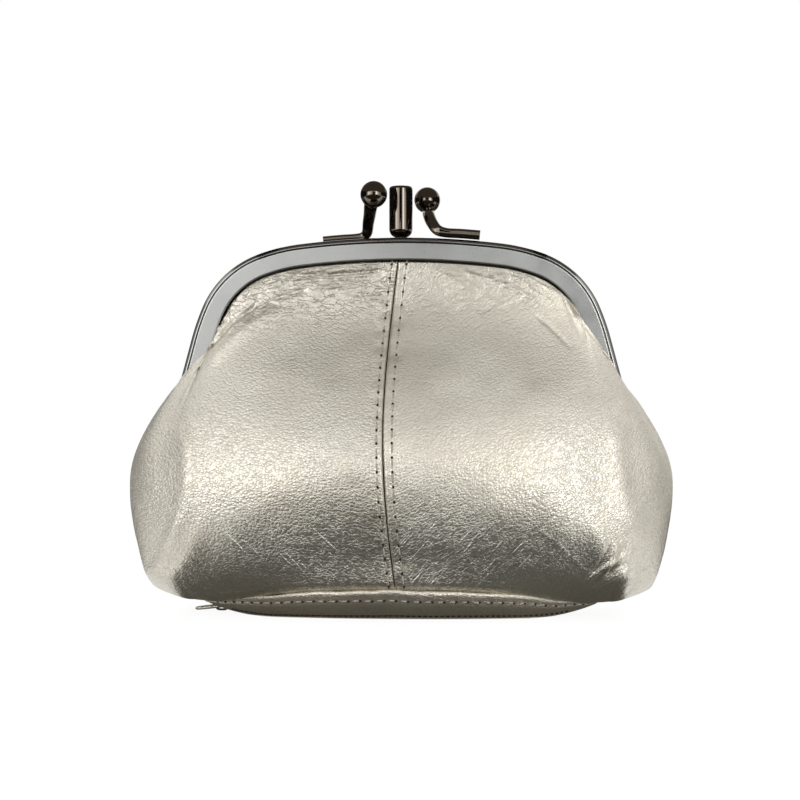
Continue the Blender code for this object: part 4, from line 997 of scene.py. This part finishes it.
def strip(word, facing):
    """Boat-shaped base strip: folded edge over the panel, belly, and a fold along the zip."""
    xs = np.linspace(-STRIP_END, STRIP_END, 241)
    plan, top, low = base_plan(xs), seam_z(xs), underside_z(xs)
    lip = BASE_LIP_Y
    plan = np.maximum(plan, lip + 0.15)
    span = plan - lip
    rest = lip + np.minimum(BASE_LIP_RUN, span * 0.4)
    wave = 0.22 * value_noise(xs, xs * 0, 7.0, 51) + 0.1 * value_noise(xs, xs * 0, 2.5, 52)
    top = top + wave * smooth((STRIP_END - np.abs(xs)) / 6)
    rows = []
    for a, b in ((0.92, 0.97), (0.965, 1.05), (0.99, 1.075), (1.01, 1.06), (1.022, 1.01), (1.02, 0.94),
                 (1.008, 0.86), (1.0, 0.78), (0.99, 0.72), (0.97, 0.63), (0.94, 0.54), (0.9, 0.45),
                 (0.85, 0.36), (0.79, 0.27), (0.72, 0.18), (0.64, 0.1), (0.55, 0.04), (0.47, 0.0)):
        rows.append((np.maximum(lip + span * a, rest), low + (top - low) * b))
    lip_z = np.maximum(BASE_LIP_Z, low + 0.1)
    rows += [(rest - 0.1, low), (rest * 0.6 + lip * 0.4, low + (lip_z - low) * 0.2),
             (rest * 0.25 + lip * 0.75, low + (lip_z - low) * 0.55), (lip + 0 * rest, lip_z)]
    grid = np.stack([np.stack([xs, facing * y, z], -1) for y, z in rows], 0)
    flip = facing < 0
    sign = -1.0 if flip else 1.0
    swell = 0.12 * value_noise(grid[..., 0], grid[..., 2] * 2, 9.0, 31 + facing)
    swell[UPPER_ROW - 1:UPPER_ROW + 1] -= 0.12
    swell[LOWER_ROW] -= 0.1
    swell[:2] = 0
    swell[-6:] = 0
    grid = grid + grid_normals(grid) * sign * swell[..., None]
    grid[..., 2] = np.maximum(grid[..., 2], 0.0)
    piece = shell(f"{word}_base_strip_leather", grid, STRIP_SHOWN, BASE_FOIL, flip)
    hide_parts(f"base_strip_{word}")
    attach(piece, "bag")
    raised = grid + grid_normals(grid) * sign * 0.03
    upper_row, lower_row = raised[UPPER_ROW, 8:-8], raised[LOWER_ROW, 18:-18]
    for thing in stitches(f"{word}_base_upper_row", [upper_row], pitch=2.6, thread=THREAD, thickness=0.28):
        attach(thing, "bag")
    # The lower row's dark thread is a painted shadow line along the strip's lower edge
    for thing in stitches(f"{word}_base_lower_row", [lower_row], pitch=1.25, thread=SHADOW_LINE_THREAD,
                          thickness=0.42):
        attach(thing, "bag")


# Zip under the base

ZIP_Z = 3.6
SLIDER_X = -39.8
PIN_X, PIN_Z = -41.375, 1.5
PULL_TILT = math.radians(-6)
PLATE_RISE = 1.15                      # a slider plate's middle over or under the zip's
PLATE_HALF_LENGTH, PLATE_HALF_WIDTH = 3.5, 2.6
COIL_Y, COIL_END = 1.15, 43.3


def rounded_ring(centre_x, back, front, half_width, power, z, sides=40):
    """A rounded outline in plan at height z, reaching back and front of its centre along X."""
    ring = []
    for k in range(sides):
        c, s = math.cos(math.tau * k / sides), math.sin(math.tau * k / sides)
        reach = front if c > 0 else back
        ring.append((centre_x + reach * math.copysign(abs(c) ** power, c),
                     half_width * math.copysign(abs(s) ** power, s), z))
    return ring


def plate(name, x, z, material):
    """One of the slider's two plates: a flat shield with rounded edges."""
    rings = []
    for rise, share in ((-0.3, 0.93), (-0.2, 0.985), (0.0, 1.0), (0.2, 0.985), (0.3, 0.93)):
        rings.append(rounded_ring(x, PLATE_HALF_LENGTH * share, PLATE_HALF_LENGTH * share,
                                  PLATE_HALF_WIDTH * share, 0.6, z + rise))
    return sweep(name, rings, (material,))


def zip_slider():
    bridge = [rounded_ring(SLIDER_X + 1.4, 1.0, 1.0, 0.24, 0.5, z) for z in (ZIP_Z - 1.2, ZIP_Z + 1.2)]
    arch = [(PIN_X + x, 0, z, 0.5, 0.24, 0.5) for x, z in ((-1.35, 2.4), (-1.35, 1.3), (-0.95, 0.72),
                                                          (0.0, 0.6), (0.95, 0.72), (1.35, 1.3),
                                                          (1.35, 2.4))]
    slider = join("cast_slider", [plate("lower_plate", SLIDER_X, ZIP_Z - PLATE_RISE, BRIGHT_METAL),
                                  plate("upper_plate", SLIDER_X, ZIP_Z + PLATE_RISE, BRIGHT_METAL),
                                  sweep("bridge", bridge, (BRIGHT_METAL,)),
                                  bar("bail", arch, BRIGHT_METAL, steps=4, sides=12)])
    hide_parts("zip_slider")
    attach(slider, "slider")


def zip_pull():
    """A leather tab with a slot for the bail, lying back along the groove."""
    rings = []
    for rise, share in ((0.35, 0.92), (0.2, 1.0), (-0.2, 1.0), (-0.35, 0.92)):
        rings.append(rounded_ring(-1.5, 4.7 * share, 1.85 * share, 1.4 * share, 0.55, rise))
    rings += [rounded_ring(-1.35, 1.0, 1.0, 0.85, 0.4, rise) for rise in (-0.33, 0.33)]
    points = np.array(rings)
    turn = np.array(Matrix.Rotation(PULL_TILT, 3, "Y"))
    points = points @ turn.T + np.array((PIN_X, 0, PIN_Z))
    count, sides = points.shape[:2]
    faces = []
    for i in range(count):
        for j in range(sides):
            after, beside = (i + 1) % count, (j + 1) % sides
            faces.append((i * sides + j, i * sides + beside, after * sides + beside, after * sides + j))
    pull = new_object("leather_pull_tab", points.reshape(-1, 3), faces, BASE_FOIL)
    face_outwards(pull.data)
    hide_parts("zip_pull")
    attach(pull, "pull")


def zip_coil(word, facing):
    """One side's nylon coil: its turns in a row over a filler cord."""
    y = facing * COIL_Y
    line = [(-COIL_END, y, ZIP_Z), (COIL_END, y, ZIP_Z)]
    turns = beads(f"{word}_turns", [line], COIL_NYLON, pitch=0.85, first=0.0, length=0.62, width=1.08,
                  height=1.05)
    stations = [(x, y, ZIP_Z, 0.3, 0.3, 1.0) for x in (-43.5, 0.0, 43.5)]
    filler = bar(f"{word}_filler", stations, COIL_NYLON, steps=2, sides=8)
    coil = join(f"{word}_zip_coil_turns", [turns, filler])
    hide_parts(f"zip_coil_{word}")
    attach(coil, "bag")


# Camera, light and background

def seen_strength(tree, unseen, seen):
    """A strength for diffuse light, and another for the camera, reflections and glass."""
    rays = add_node(tree, "ShaderNodeLightPath").outputs
    either = add_node(tree, MATH, LARGER, _0=rays["Is Camera Ray"], _1=rays["Is Glossy Ray"])
    any_of = add_node(tree, MATH, LARGER, _0=either, _1=rays["Is Transmission Ray"])
    return add_node(tree, RANGE, Value=any_of, To_Min=unseen, To_Max=seen)


def studio():
    """White surroundings, and a table that keeps the shadow under the purse."""
    world = bpy.data.worlds.new("studio")
    bpy.context.scene.world = world
    world.use_nodes = True
    tree = world.node_tree
    connect(tree, tree.nodes["Background"], Color=(1, 1, 1, 1), Strength=seen_strength(tree, 0.6, 1.0))

    floor_material = bpy.data.materials.new("white_table")
    floor_material.use_nodes = True
    tree = floor_material.node_tree
    connect(tree, tree.nodes["Principled BSDF"], Base_Color=(0.12, 0.12, 0.12, 1), Roughness=1.0,
            Emission_Color=(1, 1, 1, 1), Emission_Strength=seen_strength(tree, 0.3, 0.93))
    size = 6000.0
    corners = [(-size, -size, 0), (size, -size, 0), (size, size, 0), (-size, size, 0)]
    floor = new_object("floor", corners, [(0, 1, 2, 3)], floor_material, False)


def flag(name, centre, facing_way, size, shade):
    """A grey studio card that only reflections see, square to the direction it faces."""
    material = bpy.data.materials.new(name)
    material.use_nodes = True
    tree = material.node_tree
    connect(tree, tree.nodes["Principled BSDF"], Base_Color=(0, 0, 0, 1), Specular_IOR_Level=0.0,
            Emission_Color=colour(shade), Emission_Strength=1.0)
    w, h = size[0] / 2, size[1] / 2
    corners = [(-w, 0, -h), (w, 0, -h), (w, 0, h), (-w, 0, h)]
    card = new_object(name, corners, [(0, 1, 2, 3)], material, False)
    turn = facing_way.to_track_quat("Y", "Z").to_matrix().to_4x4()
    card.data.transform(Matrix.Translation(Vector(centre) * MM) @ turn)
    for way in ("visible_camera", "visible_diffuse", "visible_shadow", "visible_transmission"):
        setattr(card, way, False)


def direction(azimuth, elevation):
    """Unit vector away from the purse. Azimuth 0 is the camera's side, 90 the purse's right."""
    a, e = math.radians(azimuth), math.radians(elevation)
    return Vector((math.sin(a) * math.cos(e), -math.cos(a) * math.cos(e), math.sin(e)))


LAMP_DISTANCE, PURSE_MIDDLE = 0.9, Vector((0, 0, 0.045))       # metres


def softbox(name, azimuth, elevation, size, brightness):
    """A soft rectangular lamp aimed at the purse; brightness 1 looks as bright as white paper."""
    data = bpy.data.lights.new(name, "AREA")
    data.shape = "RECTANGLE"
    data.size, data.size_y = size[0] * MM, size[1] * MM
    data.energy = brightness * math.pi * data.size * data.size_y
    lamp = link_object(name, data)
    way = direction(azimuth, elevation)
    lamp.location = PURSE_MIDDLE + way * LAMP_DISTANCE
    lamp.rotation_mode = "QUATERNION"
    lamp.rotation_quaternion = way.to_track_quat("Z", "Y")


CAMERA_DISTANCE, VIEW_WIDTH, SENSOR = 400.0, 184.0, 36.0      # the view's width is at the purse


def camera():
    data = bpy.data.cameras.new("camera")
    data.sensor_width = SENSOR
    data.lens = SENSOR * CAMERA_DISTANCE / VIEW_WIDTH
    eye = link_object("camera", data)
    azimuth = math.radians(3.0)
    target = Vector((-0.2, 0, 49.0)) * MM
    away = Vector((math.sin(azimuth), -math.cos(azimuth), 0))
    eye.location = target + away * CAMERA_DISTANCE * MM
    eye.rotation_mode = "QUATERNION"
    eye.rotation_quaternion = (eye.location - target).to_track_quat("Z", "Y")
    bpy.context.scene.camera = eye


bpy.context.scene.view_settings.view_transform = "Standard"
camera()
studio()
softbox("left_window", -34, 8, (560, 900), 1.3)
softbox("left_tube", -40, 4, (170, 600), 1.4)
softbox("right_window", 30, 8, (520, 900), 1.15)
softbox("right_tube", 27, 4, (150, 600), 3.6)
UP = Vector((0, 0, 1))
CARD_DISTANCE, CARD_MIDDLE = 950, UP * 45
flag("table_card_front", (0, -735, 0.4), UP, (760, 1300), "#46423A")
flag("table_card_rear", (0, 700, 0.4), UP, (760, 1350), "#5E5A52")
flag("table_card_near", (3, -55, 0.5), UP, (108, 60), "#1E1B17")
flag("table_card_under", (0, 0, 0.4), UP, (104, 50), "#46433A")
flag("overhead_card", (0, 300, 900), -UP, (900, 1000), "#949494")
flag("crown_card", (2, -9, 106), -UP, (130, 46), "#6C665F")
for name, azimuth, size, shade in (("camera_card", 10, (260, 700), "#404040"),
                                   ("side_card", -60, (330, 900), "#BEBEBE"),
                                   ("side_card", -94, (800, 900), "#9E9E9E"),
                                   ("side_card", -135, (700, 900), "#909090"),
                                   ("side_card", 60, (330, 900), "#E4E4E4"),
                                   ("side_card", 94, (800, 900), "#C8C8C8")):
    away = direction(azimuth, 0)
    flag(name, away * CARD_DISTANCE + CARD_MIDDLE, -away, size, shade)
flag("clasp_camera_card", (0, -60, 103), UP.cross(Vector((1, 0, 0))), (20, 20), "#1A1A1A")
for hand in (-1, 1):
    across = Vector((-hand, 0, 0))
    flag("clasp_side_card", (hand * 36, 8, 98), across, (66, 20), "#2A2A2A")

frame_leaf("front_frame", -FRAME_Y, OUTER_DEPTH, -1, True, 0, "front_leaf")
frame_leaf("middle_frame", 0.0, MIDDLE_DEPTH, -1, False, 1, "bag")
frame_leaf("rear_frame", FRAME_Y, OUTER_DEPTH, 1, True, 2, "rear_leaf")
centre_post()
ball("right_ball", "front", 1, -1, "front_leaf")
ball("left_ball", "rear", -1, 1, "rear_leaf")
clasp_arm("right_arm", "front", 1, -1, "front_leaf")
clasp_arm("left_arm", "rear", -1, 1, "rear_leaf")
front_rows = leather_half("front", -1, -1, LEFT_LAP, LEFT_FOLDS, seed=11, rows=250, columns=165,
                          wander=SEAM_WANDER, finish=LEFT_FOIL)
front_rows += leather_half("front", 1, -1, RIGHT_LAP, RIGHT_FOLDS, seed=23, rows=250, columns=165,
                           wander=SEAM_WANDER, finish=RIGHT_FOIL)
rear_rows = leather_half("rear", -1, 1, LEFT_LAP, REAR_FOLDS, seed=37, rows=160, columns=120,
                         wander=REAR_WANDER, finish=RIGHT_FOIL)
rear_rows += leather_half("rear", 1, 1, LEFT_LAP, REAR_FOLDS, seed=41, rows=160, columns=120,
                          wander=REAR_WANDER, finish=LEFT_FOIL)
for word, sewn in (("front", front_rows), ("rear", rear_rows)):
    for thing in stitches(word + "_centre_seam", sewn, STITCH_PITCH):
        flex(thing)
lining("front", -1)
lining("rear", 1)
strip("front", -1)
strip("rear", 1)
zip_slider()
zip_pull()
zip_coil("front", -1)
zip_coil("rear", 1)

KEPT = {
    "hinge_rivet_left": BRIGHT_METAL, "hinge_rivet_right": BRIGHT_METAL, "post_stud": BRIGHT_METAL,
    "front_frame_cord": PAPER, "rear_frame_cord": PAPER, "divider_cord": PAPER,
    "divider_panel": LINING_CLOTH, "pocket_floor": LINING_CLOTH,
    "zip_tape_front": TAPE_CLOTH, "zip_tape_rear": TAPE_CLOTH,
    "zip_stop_left": BRIGHT_METAL, "zip_stop_right": BRIGHT_METAL,
}
for node_name, finish in KEPT.items():
    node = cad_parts[node_name]
    for slot in node.material_slots:
        slot.material = finish
